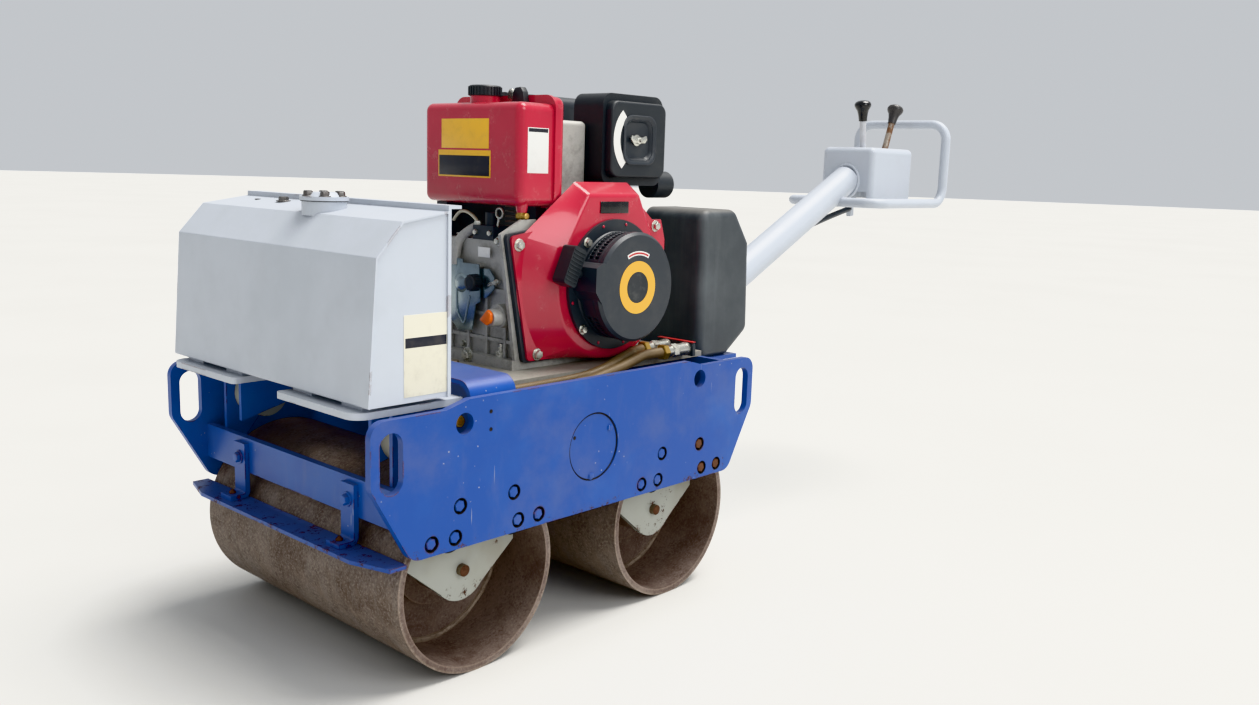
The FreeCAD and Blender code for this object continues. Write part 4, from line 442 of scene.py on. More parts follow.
def pick(test, kind="faces"):
    """Selects the faces or corners (kind "verts") that pass a test."""
    bpy.ops.mesh.select_mode(type={"faces": "FACE", "verts": "VERT"}[kind])
    bpy.ops.mesh.select_all(action="DESELECT")
    mesh = bmesh.from_edit_mesh(bpy.context.object.data)
    for item in getattr(mesh, kind):
        item.select_set(bool(test(item)))
    bmesh.update_edit_mesh(bpy.context.object.data)


def set_corners(targets):
    """Moves the open mesh's corners, in their order, onto the given places."""
    for number, target in enumerate(targets):
        pick(lambda corner: corner.index == number, "verts")
        mesh = bmesh.from_edit_mesh(bpy.context.object.data)
        mesh.verts.ensure_lookup_table()
        bpy.ops.transform.translate(value=target - mesh.verts[number].co)


def open_edit():
    """Puts the new object's mesh in its place and opens it."""
    bpy.ops.object.transform_apply(location=True, rotation=True, scale=True)
    bpy.ops.object.mode_set(mode="EDIT")


def close_edit(smooth=35):
    """Turns the faces outwards and leaves edit mode."""
    bpy.ops.mesh.select_all(action="SELECT")
    bpy.ops.mesh.normals_make_consistent(inside=False)
    bpy.ops.object.mode_set(mode="OBJECT")
    bpy.ops.object.shade_smooth_by_angle(angle=math.radians(smooth))
    return bpy.context.object


def draw_out(place, way, steps):
    """Extrudes the chosen face along way and resizes it; a step is (size, height)."""
    for (size_a, low), (size_b, high) in zip(steps, steps[1:]):
        bpy.ops.mesh.extrude_region_move(TRANSFORM_OT_translate={"value": way * (high - low) / 1000})
        if size_b != size_a:
            bpy.ops.transform.resize(value=(size_b / size_a,) * 3,
                                     center_override=place + way * high / 1000)


def flat_start(corners, radius, place, way, spin=0.0):
    """Opens a flat face with the given number of corners that looks along way."""
    bpy.ops.object.select_all(action="DESELECT")
    turn = way.to_track_quat("Z", "Y").to_matrix() @ Matrix.Rotation(math.radians(spin), 3, "Z")
    bpy.ops.mesh.primitive_circle_add(vertices=corners, radius=radius / 1000, fill_type="NGON",
                                      location=place, rotation=turn.to_euler())
    open_edit()


def hoop(place, turn, major, minor, around, across):
    """Opens a round ring of round section; around and across count its faces."""
    bpy.ops.object.select_all(action="DESELECT")
    bpy.ops.mesh.primitive_torus_add(location=place, rotation=turn, major_radius=major / 1000,
                                     minor_radius=minor / 1000, major_segments=around,
                                     minor_segments=across)
    open_edit()


def roughen(reach, seed):
    """Moves the open mesh's corners a little at random."""
    bpy.ops.mesh.select_all(action="SELECT")
    bpy.ops.transform.vertex_random(offset=reach, seed=seed)


def turned(place, way, steps, corners=28, spin=0.0):
    """A round or many-sided piece drawn out along an axis."""
    flat_start(corners, steps[0][0], place + way * steps[0][1] / 1000, way, spin)
    draw_out(place, way, steps)
    return close_edit()


def pan(place, way, steps, corner):
    """As turned, but from a square with rounded corners; a size is half the square's side."""
    bpy.ops.object.select_all(action="DESELECT")
    bpy.ops.mesh.primitive_plane_add(size=steps[0][0] / 500, location=place + way * steps[0][1] / 1000,
                                     rotation=way.to_track_quat("Z", "Y").to_euler())
    open_edit()
    bpy.ops.mesh.bevel(offset=corner / 1000, segments=6, affect="VERTICES")
    bpy.ops.mesh.select_all(action="SELECT")
    draw_out(place, way, steps)
    return close_edit()


def boxed(low, high, rounding=0.6, segments=2):
    """A block between two corners with rounded edges."""
    a, b = spot(*low), spot(*high)
    bpy.ops.object.select_all(action="DESELECT")
    bpy.ops.mesh.primitive_cube_add(size=1, location=(a + b) / 2)
    open_edit()
    bpy.ops.transform.resize(value=b - a, center_override=(a + b) / 2)
    bpy.ops.mesh.bevel(offset=rounding / 1000, segments=segments, affect="EDGES")
    return close_edit()


def outlined(corners, axis, low, high, rounding=0.5):
    """A flat piece: an outline across an axis, drawn out from low to high, with softened edges."""
    level = "xyz".index(axis)
    way = (AHEAD, LEFT, UP)[level]

    def at(pair):
        """The place of an outline's corner at the low side."""
        values = list(pair)
        values.insert(level, low)
        return spot(*values)

    flat_start(len(corners), 10, at(corners[0]), way)
    set_corners([at(pair) for pair in corners])
    pick(lambda face: True)
    bpy.ops.mesh.extrude_region_move(TRANSFORM_OT_translate={"value": way * (high - low) / 1000})
    bpy.ops.mesh.select_all(action="SELECT")
    bpy.ops.mesh.normals_make_consistent(inside=False)
    bpy.ops.mesh.bevel(offset=rounding / 1000, segments=2, affect="EDGES")
    return close_edit()


def bent(points, radius):
    """A round bar or hose on a smooth line past the points."""
    line = bpy.data.curves.new("line", "CURVE")
    line.dimensions = "3D"
    line.bevel_depth = radius / 1000
    line.bevel_resolution = 4
    line.use_fill_caps = True
    run = line.splines.new("NURBS")
    run.points.add(len(points) - 1)
    for point, place in zip(run.points, points):
        point.co = (*spot(*place), 1.0)
    run.order_u = 3
    run.use_endpoint_u = True
    piece = bpy.data.objects.new("line", line)
    bpy.context.collection.objects.link(piece)
    choose([piece])
    bpy.ops.object.convert(target="MESH")
    bpy.ops.object.shade_smooth_by_angle(angle=math.radians(35))
    return bpy.context.object


def choose(pieces):
    """Selects the pieces and no others; the first one is active."""
    bpy.ops.object.select_all(action="DESELECT")
    for piece in pieces:
        piece.select_set(True)
    bpy.context.view_layer.objects.active = pieces[0]


def joined(pieces):
    """Several pieces as one."""
    choose(pieces)
    if len(pieces) > 1:
        bpy.ops.object.join()
    return bpy.context.object


def copied(piece, move):
    """A copy with its own mesh, moved by a matrix."""
    twin = piece.copy()
    twin.data = piece.data.copy()
    twin.data.transform(move)
    bpy.context.collection.objects.link(twin)
    return twin


def moved(piece, move):
    """The piece itself, with its mesh moved by a matrix."""
    piece.data.transform(move)
    return piece


def repeated(piece, moves):
    """A piece together with its copies, as one."""
    return joined([piece] + [copied(piece, move) for move in moves])


def ring_strip(centre, inner, outer, start, end, thick, steps=24):
    """A flat strip round a centre, facing left, between two angles in degrees from straight ahead."""
    side = Vector((math.cos(math.radians(start)), 0, math.sin(math.radians(start))))
    targets = [centre + side * reach / 1000 + LEFT * rise / 1000
               for reach, rise in ((inner, 0), (outer, 0), (outer, thick), (inner, thick))]
    flat_start(4, 1, centre, UP)
    set_corners(targets)
    bpy.ops.mesh.select_all(action="SELECT")
    if end - start >= 360:
        bpy.ops.mesh.delete(type="ONLY_FACE")
        bpy.ops.mesh.select_all(action="SELECT")
    bpy.ops.mesh.spin(steps=steps, angle=math.radians(end - start), center=centre, axis=LEFT)
    bpy.ops.mesh.select_all(action="SELECT")
    bpy.ops.mesh.remove_doubles(threshold=0.00002)
    return close_edit(30)


def hex_bolt(place, way, across, height, washer=0.0, spin=0.0):
    """A hexagon head with chamfered corners, on a washer where it has one."""
    base = 1.8 if washer else 0.0
    head = turned(place, way, [(across, base), (across, base + height * 0.72), (across * 0.86, base + height),
                               (across * 0.4, base + height + 0.3)], 6, spin)
    if not washer:
        return head
    return joined([head, turned(place, way, [(washer, 0), (washer, 1.3), (washer - 0.6, 1.8)], 24)])


def fit(piece, name, slot, finish=None, body="frame", stands_for=()):
    """Names a finished piece, gives it its finish and lets it ride on a body."""
    piece.name = name
    piece.data.name = name
    piece.data.materials.clear()
    piece.data.materials.append(finish or M[slot])
    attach(piece, body)
    for node in stands_for:
        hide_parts(node)
    return piece


def seat(node, x, y, z, way):
    """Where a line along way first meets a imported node, coming from outside."""
    target = NODES[node]
    back = target.matrix_world.inverted()
    met, place, _, _ = target.ray_cast(back @ (spot(x, y, z) + way * 2), back.to_3x3() @ -way)
    return target.matrix_world @ place if met else spot(x, y, z)


# Bolts and small marks on the side plates
HALF_BASE, AXLE = 225, 149      # half the wheelbase, and the height of the drums' axles
PLATE_Y = PLATE[1][1] * 1000    # outer face of the left side plate
SUNK = 7                        # depth of the bolts' places
RECESS = 2                      # depth of the round cover's recess
BOLT_SPOTS = [(end * HALF_BASE + side * reach, height) for end in (1, -1) for side in (1, -1)
              for reach, height in ((104, 230), (61, 230), (52, 276))]
RUSTED_SPOTS = [place for place in BOLT_SPOTS if place[0] < -HALF_BASE]
SOUND_SPOTS = [place for place in BOLT_SPOTS if place not in RUSTED_SPOTS]


def on_both_sides(piece):
    """A piece together with its copy on the other side of the machine, turned half round."""
    return repeated(piece, [HALF_TURN])


def on_both_ends(piece, move):
    """A piece and its moved copy, and both of them again on the other side."""
    return repeated(piece, [move, HALF_TURN, HALF_TURN @ move])


def at_spots(piece, spots):
    """A piece made at the first of the bolt places, copied to the others and to the other side."""
    (first_x, first_z), *others = spots
    return on_both_sides(repeated(piece, [shifted(x - first_x, 0, z - first_z) for x, z in others]))


def sunk_bolts(spots):
    """Hexagon bolts sunk in their places, on both side plates."""
    x, z = spots[0]
    head = turned(spot(x, PLATE_Y - SUNK, z), LEFT, [(9.3, 0), (9.3, 4.9), (8.4, 6.0), (5.6, 6.3)], 6, 12)
    return at_spots(head, spots)


fit(sunk_bolts(SOUND_SPOTS), "side_plate_bolts", "blue_paint")
fit(sunk_bolts(RUSTED_SPOTS), "side_plate_bolts_rusted", "worn_steel", F["rusted"])
bolt_x, bolt_z = BOLT_SPOTS[0]
# Near-black floor and wall in each bolt's sunk place: painted shade in the gap round the head.
gap_floor = turned(spot(bolt_x, PLATE_Y - SUNK, bolt_z), LEFT, [(12.3, 0), (12.3, 0.5), (11.9, 0.8)], 24)
gap_wall = ring_strip(spot(bolt_x, PLATE_Y - SUNK + 0.1, bolt_z), 11.4, 12.4, 0, 360, 6.5, 24)
fit(at_spots(joined([gap_floor, gap_wall]), BOLT_SPOTS), "bolt_seats_painted_shade", "worn_steel", F["grime"])

cover_bolt = turned(spot(-38, PLATE_Y - RECESS, 344), LEFT,
                    [(7.4, 0), (7.4, 0.4), (5.8, 0.5), (5.8, 1.4), (4.8, 1.9)], 6)
fit(on_both_ends(cover_bolt, shifted(42, 0, -75)), "cover_bolts", "blue_paint")
# Small holes drawn as thin near-black discs on the recess floor: painted shade where the holes go in.
small_hole = turned(spot(44, PLATE_Y - RECESS, 339), LEFT, [(3.2, 0), (3.2, 0.15), (2.4, 0.2)], 16)
small_holes_painted_shade = repeated(small_hole, [shifted(177, RECESS, 70), shifted(177, RECESS, 43)])
fit(on_both_sides(small_holes_painted_shade), "small_holes_painted_shade", "blue_paint", F["grime"])
# A thin near-black ring at the edge of the round cover's recess: painted shade along its groove.
cover_line = ring_strip(spot(0, PLATE_Y - RECESS - 0.05, 318), 53.9, 57.0, 0, 360, 0.3, 72)
fit(on_both_sides(cover_line), "cover_outline_painted_shade", "blue_paint", F["grime"])
lift_ring = turned(spot(262, 262, 396), LEFT, [(9, 0), (9, 11), (7.6, 12), (5.4, 12), (5.0, 3)], 24)
fit(lift_ring, "lift_pin_ring", "bright_metal", F["brass"])

# Drums: the weld between shell and web
for body, x in (("drum_front", HALF_BASE), ("drum_rear", -HALF_BASE)):
    beads = []
    for side in (1, -1):
        hoop(spot(x, side * 156, AXLE), (math.pi / 2, 0, 0), 135.8, 5.2, 120, 8)
        roughen(0.0011, 3)
        beads.append(close_edit())
    fit(joined(beads), body + "_weld", "drum_steel", F["weld"], body)

# Pin ends in the stub axles, and steel plates on the buffers
BUFFER_X, BUFFER_Z = 61, 80     # from a drum's axle to its buffers
OTHER_AXLE = shifted(-2 * HALF_BASE)
pin_end = turned(spot(HALF_BASE, 240.6, AXLE), LEFT, [(9.0, 0), (9.0, 1.0), (7.4, 2.2), (3.0, 2.6)], 20)
fit(on_both_ends(pin_end, OTHER_AXLE), "pin_centres", "worn_steel", F["rusted"])
buffer_plate = turned(spot(HALF_BASE + BUFFER_X, 232, AXLE + BUFFER_Z), LEFT,
                      [(25.8, 0), (25.8, 2.6), (25.2, 3.2)], 32)
buffer_plates = repeated(buffer_plate, [shifted(-2 * BUFFER_X), OTHER_AXLE,
                                        shifted(-2 * HALF_BASE - 2 * BUFFER_X)])
fit(on_both_sides(buffer_plates), "buffer_plates", "worn_steel", F["rusted"])
dress("stub_axles", F["old_bolt"])

# Scraper brackets: bolts with washers, and the nuts on their feet
BRACKET_Y = 157
OTHER_BRACKET = shifted(0, -2 * BRACKET_Y)
bracket_bolt = hex_bolt(spot(378, BRACKET_Y, 276), AHEAD, 8.6, 6.5, 11.5, 8)
fit(on_both_ends(bracket_bolt, OTHER_BRACKET), "bracket_bolts", "blue_paint")
foot_nut = turned(spot(392, BRACKET_Y, 216), UP,
                  [(5.6, 0), (5.6, 3.4), (4.6, 4.2), (3.0, 4.2), (3.0, 6.4)], 6)
fit(on_both_ends(foot_nut, OTHER_BRACKET), "bracket_foot_nuts", "worn_steel", F["rusted"])

# Water tank: data plate, the lid's bolts and gasket, a bolt and a plug in the top
fit(boxed((288, 275.5, 445), (363, 276.3, 560), 0.3), "tank_data_plate", "light_paint", F["cream"])
fit(boxed((290, 276.2, 514), (361, 276.5, 528), 0.12), "tank_plate_band", "black_plastic", F["dark_print"])
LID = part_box("filler_lid")
lid_x, lid_y = ((LID[0][axis] + LID[1][axis]) / 2 for axis in (0, 1))
lid_centre = Vector((lid_x, lid_y, LID[1][2]))
lid_bolt = hex_bolt(lid_centre + Vector((0.0265, 0, -0.0064)), UP, 7.0, 6.4, 9.0, 10)
around = [turned_about(lid_centre, 60 * step, "Z") for step in range(1, 6)]
fit(repeated(lid_bolt, around), "lid_bolts", "bright_metal", F["dark_bolt"])
gasket = turned(lid_centre - Vector((0, 0, 0.0132)), UP, [(34.4, 0), (35.2, 0.5), (34.4, 1.2)], 40)
fit(gasket, "lid_gasket", "rubber", F["grime"])
tank_bolt = hex_bolt(seat("water_tank", 310, -118, 690, UP), UP, 8.0, 6.0, 12.0)
fit(tank_bolt, "tank_bolt", "bright_metal", F["dark_bolt"])
small_plug = turned(seat("water_tank", 310, -199, 690, UP), UP, [(5.0, 0), (5.0, 0.6), (4.0, 1.0)], 20)
fit(small_plug, "tank_small_plug", "rubber", F["grime"])

# Fuel tank: cap, label places, lug, strap and outlet
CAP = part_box("fuel_cap")
cap_base = Vector(((CAP[0][0] + CAP[1][0]) / 2, (CAP[0][1] + CAP[1][1]) / 2, CAP[0][2]))
flat_start(60, 26.5, cap_base, UP)
draw_out(cap_base, UP, [(26.5, 0), (27.6, 1.2), (27.6, 15.5), (26.0, 17.4), (23.0, 18.0), (21.5, 17.0),
                        (14.0, 17.6), (1.0, 18.4)])
pick(lambda face: abs(face.normal.z) < 0.2 and face.calc_area() > 0.00003
     and int(math.degrees(math.atan2(face.calc_center_median().y - cap_base.y,
                                     face.calc_center_median().x - cap_base.x)) // 6) % 2 == 0)
bpy.ops.mesh.extrude_region_shrink_fatten(TRANSFORM_OT_shrink_fatten={"value": 0.0013})
fit(close_edit(), "fuel_cap_ribbed", "black_plastic", stands_for=["fuel_cap"])
for name, low, high, rounding, slot, finish in (
        ("yellow", (51.8, -40, 792), (52.4, 84, 841), 0.2, "red_paint", "yellow"),
        ("frame", (51.8, -48.5, 744), (52.4, 89, 789), 0.2, "red_paint", "yellow"),
        ("dark", (52.3, -46, 746.5), (52.7, 86.5, 780), 0.15, "black_plastic", "dark_print"),
        ("white", (-10.5, 160.8, 754.5), (35.5, 161.4, 827.5), 0.2, "light_paint", "white"),
        ("head", (-9, 161.3, 820.5), (34, 161.6, 826.5), 0.12, "black_plastic", "dark_print")):
    fit(boxed(low, high, rounding), "fuel_label_" + name, slot, F[finish])
lug = outlined([(50, 866), (52, 888), (56, 894), (63, 894), (66, 888), (68, 876), (80, 874), (80, 866)], "x",
               -20, -16.5, 0.8)
fit(lug, "fuel_tank_lug", "bright_metal", F["zinc"])
strap = outlined([(70, 866), (73, 888), (78, 895), (92, 896), (98, 888), (102, 866)], "x", -21.5, -9, 1.5)
fit(strap, "fuel_tank_strap", "black_plastic")
fit(turned(spot(33, 146, 704), DOWN, [(11, 0), (10, 6), (8.5, 14)], 24), "fuel_boss", "red_paint")
outlet = joined([turned(spot(33, 138, 684.5), LEFT, [(6.5, 0), (6.5, 12), (5.4, 13.5)], 6),
                 turned(spot(33, 151, 684.5), LEFT, [(4.4, 0), (4.4, 5), (5.2, 5), (5.2, 8), (3.6, 9)], 20),
                 turned(spot(33, 146, 690), DOWN, [(7.2, 0), (7.2, 5), (5.8, 9)], 20)])
fit(outlet, "fuel_outlet", "bright_metal", F["brass"])

# Shroud and recoil starter
shroud_bolt = hex_bolt(spot(58.5, 169, 639), LEFT, 8, 6, 10.5, 5)
fit(repeated(shroud_bolt, [shifted(-44.1, 0, -184), shifted(-334.5, 0, 25)]), "shroud_bolts", "bright_metal",
    F["zinc"])
fit(boxed((-171, 195.8, 690), (-101, 198.0, 710), 0.9, 3), "shroud_plate", "black_plastic", F["black_gloss"])
starter_bolt = hex_bolt(spot(-65.7, 202, 641.6), LEFT, 6.6, 5.5, 8.6, 20)
fit(repeated(starter_bolt, [shifted(6.7, 0, -147), shifted(-143, 0, 0), shifted(-149, 0, -147)]),
    "starter_bolts", "bright_metal", F["zinc"])
rivet = turned(spot(CRANK_X + 106, 202, CRANK_Z), LEFT, [(2.6, 0), (2.6, 0.6), (2.0, 1.3), (0.8, 1.6)], 12)
rivet_turns = [turned_about(CRANK, -angle, "Y") for angle in (72, 103, -14, -69, 140, 194, 225, 256)]
fit(joined([copied(rivet, turn) for turn in rivet_turns]), "starter_rivets", "red_paint")
bpy.data.objects.remove(rivet)

VENT_ROWS = ((212, 222.5), (225.5, 236))        # the two rows of openings, from and to, in y
bpy.ops.object.select_all(action="DESELECT")
bpy.ops.mesh.primitive_cylinder_add(vertices=80, radius=0.0928, depth=0.034, end_fill_type="NOTHING",
                                    location=spot(CRANK_X, 225, CRANK_Z), rotation=(math.pi / 2, 0, 0))
open_edit()
for y in VENT_ROWS[0] + VENT_ROWS[1]:
    bpy.ops.mesh.select_all(action="SELECT")
    bpy.ops.mesh.bisect(plane_co=spot(0, y, 0), plane_no=LEFT)


def vented(face):
    """Faces of the rows of openings, over and under the rope guide."""
    middle = face.calc_center_median()
    angle = abs(math.degrees(math.atan2(middle.z - CRANK.z, middle.x - CRANK.x)))
    return 32 < angle < 150 and any(low < middle.y * 1000 < high for low, high in VENT_ROWS)


pick(vented)
bpy.ops.mesh.inset(thickness=0.0011, use_individual=True)
bpy.ops.mesh.delete(type="FACE")
sleeve = close_edit()
wall = sleeve.modifiers.new("wall", "SOLIDIFY")
wall.thickness = 0.0018
wall.offset = -1.0
bpy.ops.object.modifier_apply(modifier=wall.name)
fit(sleeve, "starter_vents", "black_paint")
starter_face = spot(CRANK_X, 254.9, CRANK_Z)
fit(ring_strip(starter_face, 27, 45, 0, 360, 0.5, 64), "starter_ring", "orange_plastic", F["yellow"])
fit(turned(starter_face, LEFT, [(26.4, 0), (26.4, 0.3), (25.2, 0.5), (22, 0.2)], 48), "starter_disc",
    "black_plastic")
fit(ring_strip(starter_face, 55, 62, 63, 117, 0.4), "starter_mark_border", "light_paint", F["white"])
fit(ring_strip(spot(CRANK_X, 255.2, CRANK_Z), 57, 60, 65, 115, 0.3), "starter_mark", "red_paint",
    F["red_label_and_highlight"])
rib = boxed((-24, 229.8, 604.9), (2, 231.6, 607.5), 0.8)
ribs = repeated(rib, [shifted(0, 0, 6.4 * step) for step in (-4, -3, -2, -1, 1, 2, 3, 4)])
fit(moved(ribs, turned_about(spot(-11, 0, 606), -24, "Y")), "grip_ribs", "black_plastic")

# Air cleaner: pressed pan and wing nut in the dish, label place, foam in the inlet
DISH_X, DISH_Z = -240, 817
cleaner_pan = pan(spot(DISH_X, 146.1, DISH_Z), LEFT, [
    (35.4, 0), (35.4, 10.0), (44.0, 10.2), (44.0, 11.6), (42.4, 12.6), (40.6, 12.2), (34.0, 8.4), (31.0, 3.6),
    (24, 2.6)], 18)
fit(cleaner_pan, "cleaner_pan", "black_paint")
wing_nut = joined([
    turned(spot(DISH_X + 2, 149.5, DISH_Z), LEFT,
           [(10, 0), (10, 2), (6.5, 3), (6.5, 9), (3.4, 10), (3.0, 14)], 20),
    outlined([(-260, 819), (-257, 826), (-246, 822), (-238, 824), (-230, 822), (-219, 826),
              (-216, 819), (-222, 812), (-231, 812), (-238, 810), (-245, 812), (-254, 812)],
             "y", 154, 158, 1.4)])
fit(wing_nut, "cleaner_wing_nut", "bright_metal", F["zinc"])
fit(ring_strip(spot(DISH_X, 155.8, DISH_Z), 51, 68, -48, 48, 0.5), "cleaner_label", "light_paint", F["white"])
fit(turned(spot(-364.5, 110, 738), BACK, [(19, 0), (19, 0.8), (17, 1.2)], 28), "inlet_foam", "rubber",
    F["grime"])

# Engine front: speed control plate with its knob, bracket, shield, filler boss and plug
speed_plate = outlined([(-15, 606), (19.8, 604.8), (20, 598.6), (63.5, 598.6), (67, 535.6), (55, 529.5),
                        (46, 485.2), (10, 480), (-15, 500)], "x", 51.2, 53.4, 0.4)
ridge = bent([(53.4, y, z) for y, z in ((5, 560), (5, 536), (5, 514), (15, 502), (25, 490), (33, 516),
                                        (41, 543))], 2.0)
dome = turned(spot(53.2, 16.4, 563.8), AHEAD, [(17, 0), (16, 1.5), (12, 4), (5, 5.6), (1, 5.8)])
fit(joined([speed_plate, ridge, dome]), "speed_plate", "bright_metal", F["chromate"],
    stands_for=["control_plate"])
knob_base = spot(54, 60, 568)
flat_start(48, 12.4, knob_base, AHEAD)
draw_out(knob_base, AHEAD, [(12.4, 0), (13.0, 1.0), (13.0, 16), (11.6, 18.6), (7.0, 19.4), (6.4, 18.6),
                            (1.0, 18.8)])
pick(lambda face: abs(face.normal.x) < 0.3 and face.calc_area() > 0.00001
     and int((math.degrees(math.atan2(face.calc_center_median().z - knob_base.z,
                                      face.calc_center_median().y - knob_base.y)) + 3.75) // 7.5) % 4 < 2)
bpy.ops.mesh.extrude_region_shrink_fatten(TRANSFORM_OT_shrink_fatten={"value": 0.0014})
fit(close_edit(), "speed_knob", "black_plastic", stands_for=["control_knob"])
side_bracket = outlined([(60, 591), (84, 593), (97, 579), (97, 560), (76, 542), (60, 542)], "x", 46, 48.5)
fit(side_bracket, "side_bracket", "bright_metal", F["chromate"])
dress("injection_pump", M["black_paint"])
shield = outlined([(-186, 640), (12, 640), (12, 716), (-6, 742), (-6, 764), (-186, 764)], "y",
                  -100, -98.4, 0.4)
fit(shield, "heat_shield", "black_paint")
bracket_screw = joined([bent([(50, 84, 566), (50, 98, 570), (50, 113, 574)], 3),
                        hex_bolt(spot(50, 103, 571.4), LEFT, 6, 4.5)])
fit(bracket_screw, "bracket_screw", "bright_metal", F["zinc"])
fit(boxed((44.8, 51, 611), (45.5, 82, 628), 0.25), "engine_tag", "light_paint", F["white"])
boss_end = seat("oil_filler_plug", 70, 126, 517, AHEAD)
fit(turned(boss_end - AHEAD * 0.033, AHEAD, [(17, 0), (15.4, 5), (14.8, 30), (13.4, 33.4), (9, 34)], 32),
    "filler_boss", "aluminium")
plug_x = (boss_end.x - MIDDLE_X) * 1000
plug = joined([turned(boss_end, AHEAD, [(10, 0.8), (10, 3)], 24),
               outlined([(111, 513), (131, 532.5), (140, 526), (138, 514), (129, 505)], "x", plug_x + 2.6,
                        plug_x + 10, 2.6)])
fit(plug, "filler_plug", "orange_plastic", stands_for=["oil_filler_plug"])

# Engine fasteners: y, z, half the width across, height and washer of each bolt on the crankcase
fasteners = [hex_bolt(seat("crankcase", 0, y, z, AHEAD), AHEAD, across, height, washer)
             for y, z, across, height, washer in (
                 (43, 442, 9.5, 7.0, 12.825), (8, 455, 5.5, 4.5, 7.425), (-44, 452, 8.0, 6.0, 10.8),
                 (97, 640, 6.0, 5.0, 8.1), (75, 646, 5.0, 4.0, 7.0), (25, 655, 5.0, 4.0, 7.0))]
stud_x = (seat("crankcase", 0, 109.5, 452, AHEAD).x - MIDDLE_X) * 1000 + 4
fasteners.append(turned(spot(stud_x, 109.5, 446), UP, [(7.4, 0), (7.4, 8), (6.2, 9), (4.0, 9), (4.0, 22)], 6))
fasteners += [hex_bolt(spot(41, y, 652), AHEAD, 5.2, 4.0) for y in (40, 77)]
fasteners.append(hex_bolt(spot(30, 32, 663.4), UP, 6.4, 7.0))
fit(joined(fasteners), "engine_fasteners", "bright_metal", F["zinc"])
hoop(spot(30, 88, 686), (0, math.pi / 2, 0), 8.5, 2.0, 28, 8)
eye = close_edit()
fit(joined([bent([(30, 82, 657), (30, 84, 668), (30, 87, 678)], 2.2), eye]), "pump_lever", "bright_metal",
    F["zinc"])
fit(bent([(30, -34, 668), (30, -22, 682), (30, -6, 686), (30, 9, 683), (30, 26, 674), (30, 32, 668)], 3.0),
    "fuel_hose", "rubber", F["clear_hose"])
fit(bent([(28, 27, 660), (34, 12, 652), (44, -2, 636), (50, -4, 612), (50, -4, 594)], 9.0), "breather_pipe",
    "aluminium")

# Hydraulic pump and engine feet, on the side away from the photograph
pump_bolt = hex_bolt(spot(CRANK_X + 26, -210, CRANK_Z + 28), RIGHT, 6, 5, 8)
fit(repeated(pump_bolt, [shifted(-52), shifted(0, 0, -56), shifted(-52, 0, -56)]), "pump_bolts",
    "bright_metal", F["old_bolt"])
ports = [turned(spot(CRANK_X, -180, 606), UP, [(13, 0), (13, 6), (9, 8), (9, 20), (11, 21), (11, 30)], 24),
         turned(spot(-102, -180, 560), AHEAD, [(11, 0), (11, 5), (8, 7), (8, 16), (10, 17), (10, 26)], 24)]
fit(joined(ports), "pump_ports", "bright_metal", F["old_bolt"])
flange_bolt = hex_bolt(seat("pump_housing", CRANK_X + 44, -150, CRANK_Z + 44, RIGHT), RIGHT, 6, 5, 8.5)
fit(repeated(flange_bolt, [turned_about(CRANK, 90 * step, "Y") for step in (1, 2, 3)]), "pump_flange_bolts",
    "bright_metal", F["old_bolt"])
bed_bolt = hex_bolt(spot(104, 60, 430), UP, 9.5, 7.5, 14)
fit(repeated(bed_bolt, [shifted(0, -130), shifted(-362, 0), shifted(-362, -130)]), "bed_bolts", "worn_steel",
    F["old_bolt"])

# Hose couplers on their bracket, and the return hose
for number, y in enumerate((236, 189)):
    place = spot(-298, y, 442.5)
    shank = turned(place, AHEAD, [(12.4, 0), (12.4, 5), (11.4, 6), (11.4, 30), (10.6, 31), (10.6, 44),
                                  (9.6, 45), (9.6, 60)])
    nut = turned(place + AHEAD * 0.030, AHEAD, [(11.6, 0), (12.6, 1), (12.6, 13), (11.6, 14)], 6)
    brass = turned(place + AHEAD * 0.058, AHEAD, [(12.8, 0), (14.2, 1), (14.2, 12), (12.8, 13)], 6, 30)
    fit(joined([shank, nut]), "hose_coupler_%d" % number, "bright_metal", F["zinc"],
        stands_for=["hose_couplers"] if number == 0 else ())
    fit(brass, "coupler_nut_%d" % number, "bright_metal", F["brass"])
fit(bent([(-96, 239, 432), (-30, 240, 424), (60, 238, 421), (170, 236, 420)], 6.5), "return_hose",
    "hose_rubber")
# A thin red strip along the top edge of the couplers' bracket: a painted reddish highlight.
fit(boxed((-306.2, 166, 454.8), (-297.8, 252, 456.2), 0.4), "bracket_edge_red_highlight", "red_paint", F["red_label_and_highlight"])

# Handle: weld at the control box, lever knobs, hook and strut
weld_place = spot(-1207.4, 0, 752)
hoop(weld_place, (0, math.pi / 2, 0), 36.5, 4.2, 72, 10)
bpy.ops.transform.resize(value=(1, 1, 1.11), center_override=weld_place)
roughen(0.0006, 5)
fit(close_edit(60), "handle_weld", "light_paint", body="handle")
KNOB = [(10.4, 0), (10.6, 5), (12.2, 17), (14.8, 27), (19.2, 33.5), (21, 38), (21, 42.5), (18.6, 47),
        (13, 50.4), (6, 51.8), (1, 52)]
for name, x, lean, finish, nodes in (("front", -1272, 9, "black_gloss", ["lever_knobs"]),
                                     ("rear", -1420, -28, "brown_knob", ())):
    knob = turned(spot(x, 0, 905), Vector((lean, 0, 70)).normalized(), KNOB, 36)
    fit(knob, "lever_knob_" + name, "black_plastic", F[finish], "handle", nodes)
hook = outlined([(-1207, 740), (-1240, 736), (-1250, 722), (-1243, 700), (-1247, 664), (-1230, 662),
                 (-1226, 704), (-1232, 716), (-1228, 722), (-1207, 718)], "y", -6, 6, 1.0)
fit(hook, "handle_hook", "light_paint", body="handle")
fit(bent([(-1062, 0, 644), (-1140, 0, 663), (-1234, 0, 682)], 7.0), "handle_strut", "black_paint",
    body="handle")

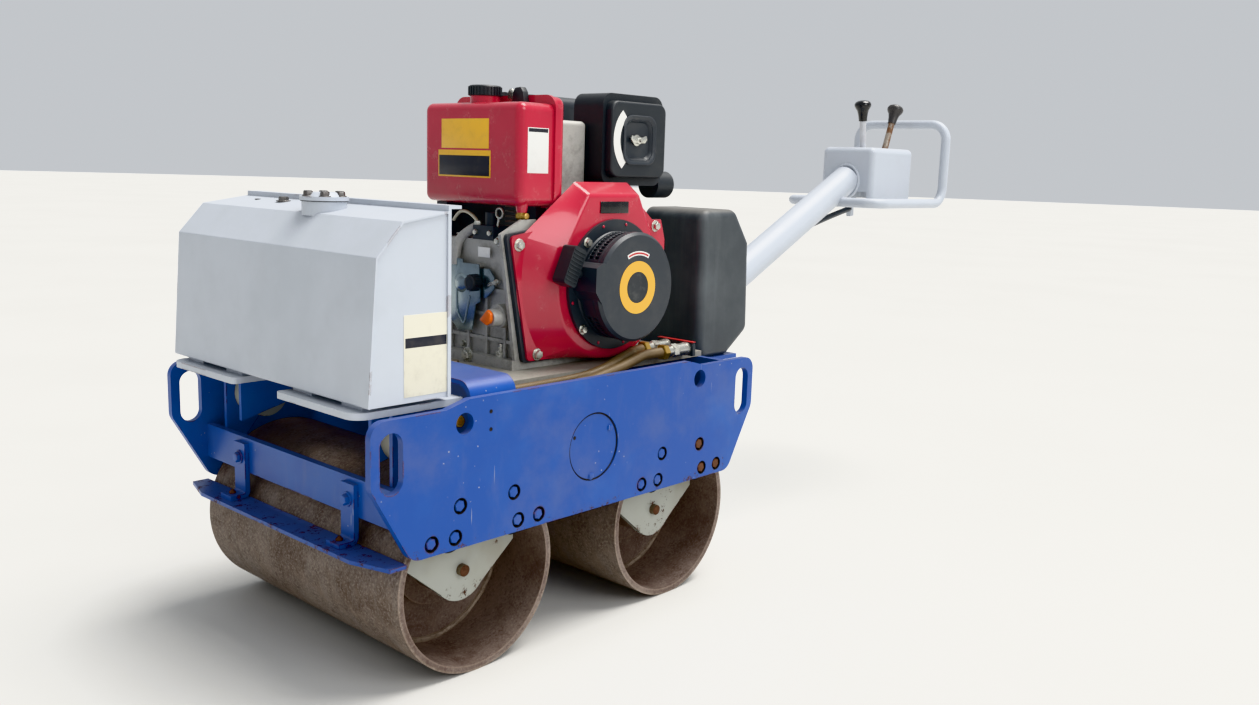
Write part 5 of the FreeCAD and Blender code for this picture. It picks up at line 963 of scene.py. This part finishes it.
# Floor, sky and lamps
bpy.ops.object.select_all(action="DESELECT")
bpy.ops.mesh.primitive_circle_add(vertices=96, radius=40.0, fill_type="NGON", location=(0, 0, 0))
floor = bpy.context.object
floor.name = "floor"
ground = Finish("pale_floor")
cloudy = ground.noise(0.8, 6.0, 0.6).over(0.35, 0.7)
floor.data.materials.append(ground.done(
    ground.mix(cloudy * 0.5, rgb(206, 205, 201), rgb(196, 195, 191)), 0.8,
    normal=ground.bump(ground.noise(120.0, 5.0), 0.1, 0.001)))

world = bpy.data.worlds.new("soft_sky")
bpy.context.scene.world = world
world.use_nodes = True
sky = world.node_tree.nodes["Background"]
sky.inputs["Color"].default_value = (0.88, 0.91, 0.95, 1.0)
sky.inputs["Strength"].default_value = 0.66


def lamp(name, kind, place, target, energy, size, colour=(1.0, 1.0, 1.0)):
    """A lamp at place that shines on target; size is a disc's width or the sun's angle."""
    data = bpy.data.lights.new(name, kind)
    data.energy = energy
    data.color = colour
    if kind == "AREA":
        data.shape = "DISK"
        data.size = size
    else:
        data.angle = size
    made = bpy.data.objects.new(name, data)
    bpy.context.collection.objects.link(made)
    made.location = place
    made.rotation_euler = (Vector(target) - Vector(place)).to_track_quat("-Z", "Y").to_euler()


lamp("sun_soft", "SUN", (-1.2, 0.8, 5.0), (0.4, 0, 0.3), 4.1, math.radians(36), (1.0, 0.975, 0.94))
lamp("fill_left", "AREA", (0.5, 4.3, 3.0), (0.3, 0, 0.5), 80.0, 3.0)
lamp("fill_front", "AREA", (4.2, 1.0, 2.6), (0.3, 0, 0.5), 2.0, 2.6)

# Camera, worked out from the photograph: place, three turns in radians and focal length in its pixels
FOCAL, PHOTO_WIDTH = 1092.7, 1259
CAMERA_PLACE = (MIDDLE_X + 1.2515, 1.4928, 0.7695)
TURN, DROP, ROLL = -2.408, 0.1681, 0.0323
camera_data = bpy.data.cameras.new("photo_view")
camera_data.sensor_width = 36.0
camera_data.lens = 36.0 * FOCAL / PHOTO_WIDTH
camera_data.clip_end = 200.0
camera = bpy.data.objects.new("photo_view", camera_data)
bpy.context.collection.objects.link(camera)
forward = Vector((math.cos(DROP) * math.cos(TURN), math.cos(DROP) * math.sin(TURN), -math.sin(DROP)))
right = forward.cross(Vector((0, 0, 1))).normalized()
above = right.cross(forward)
across = right * math.cos(ROLL) + above * math.sin(ROLL)
upward = above * math.cos(ROLL) - right * math.sin(ROLL)
axes = Matrix((across, upward, -forward)).transposed().to_4x4()
camera.matrix_world = Matrix.Translation(CAMERA_PLACE) @ axes
bpy.context.scene.camera = camera
bpy.context.scene.view_settings.view_transform = "Khronos PBR Neutral"
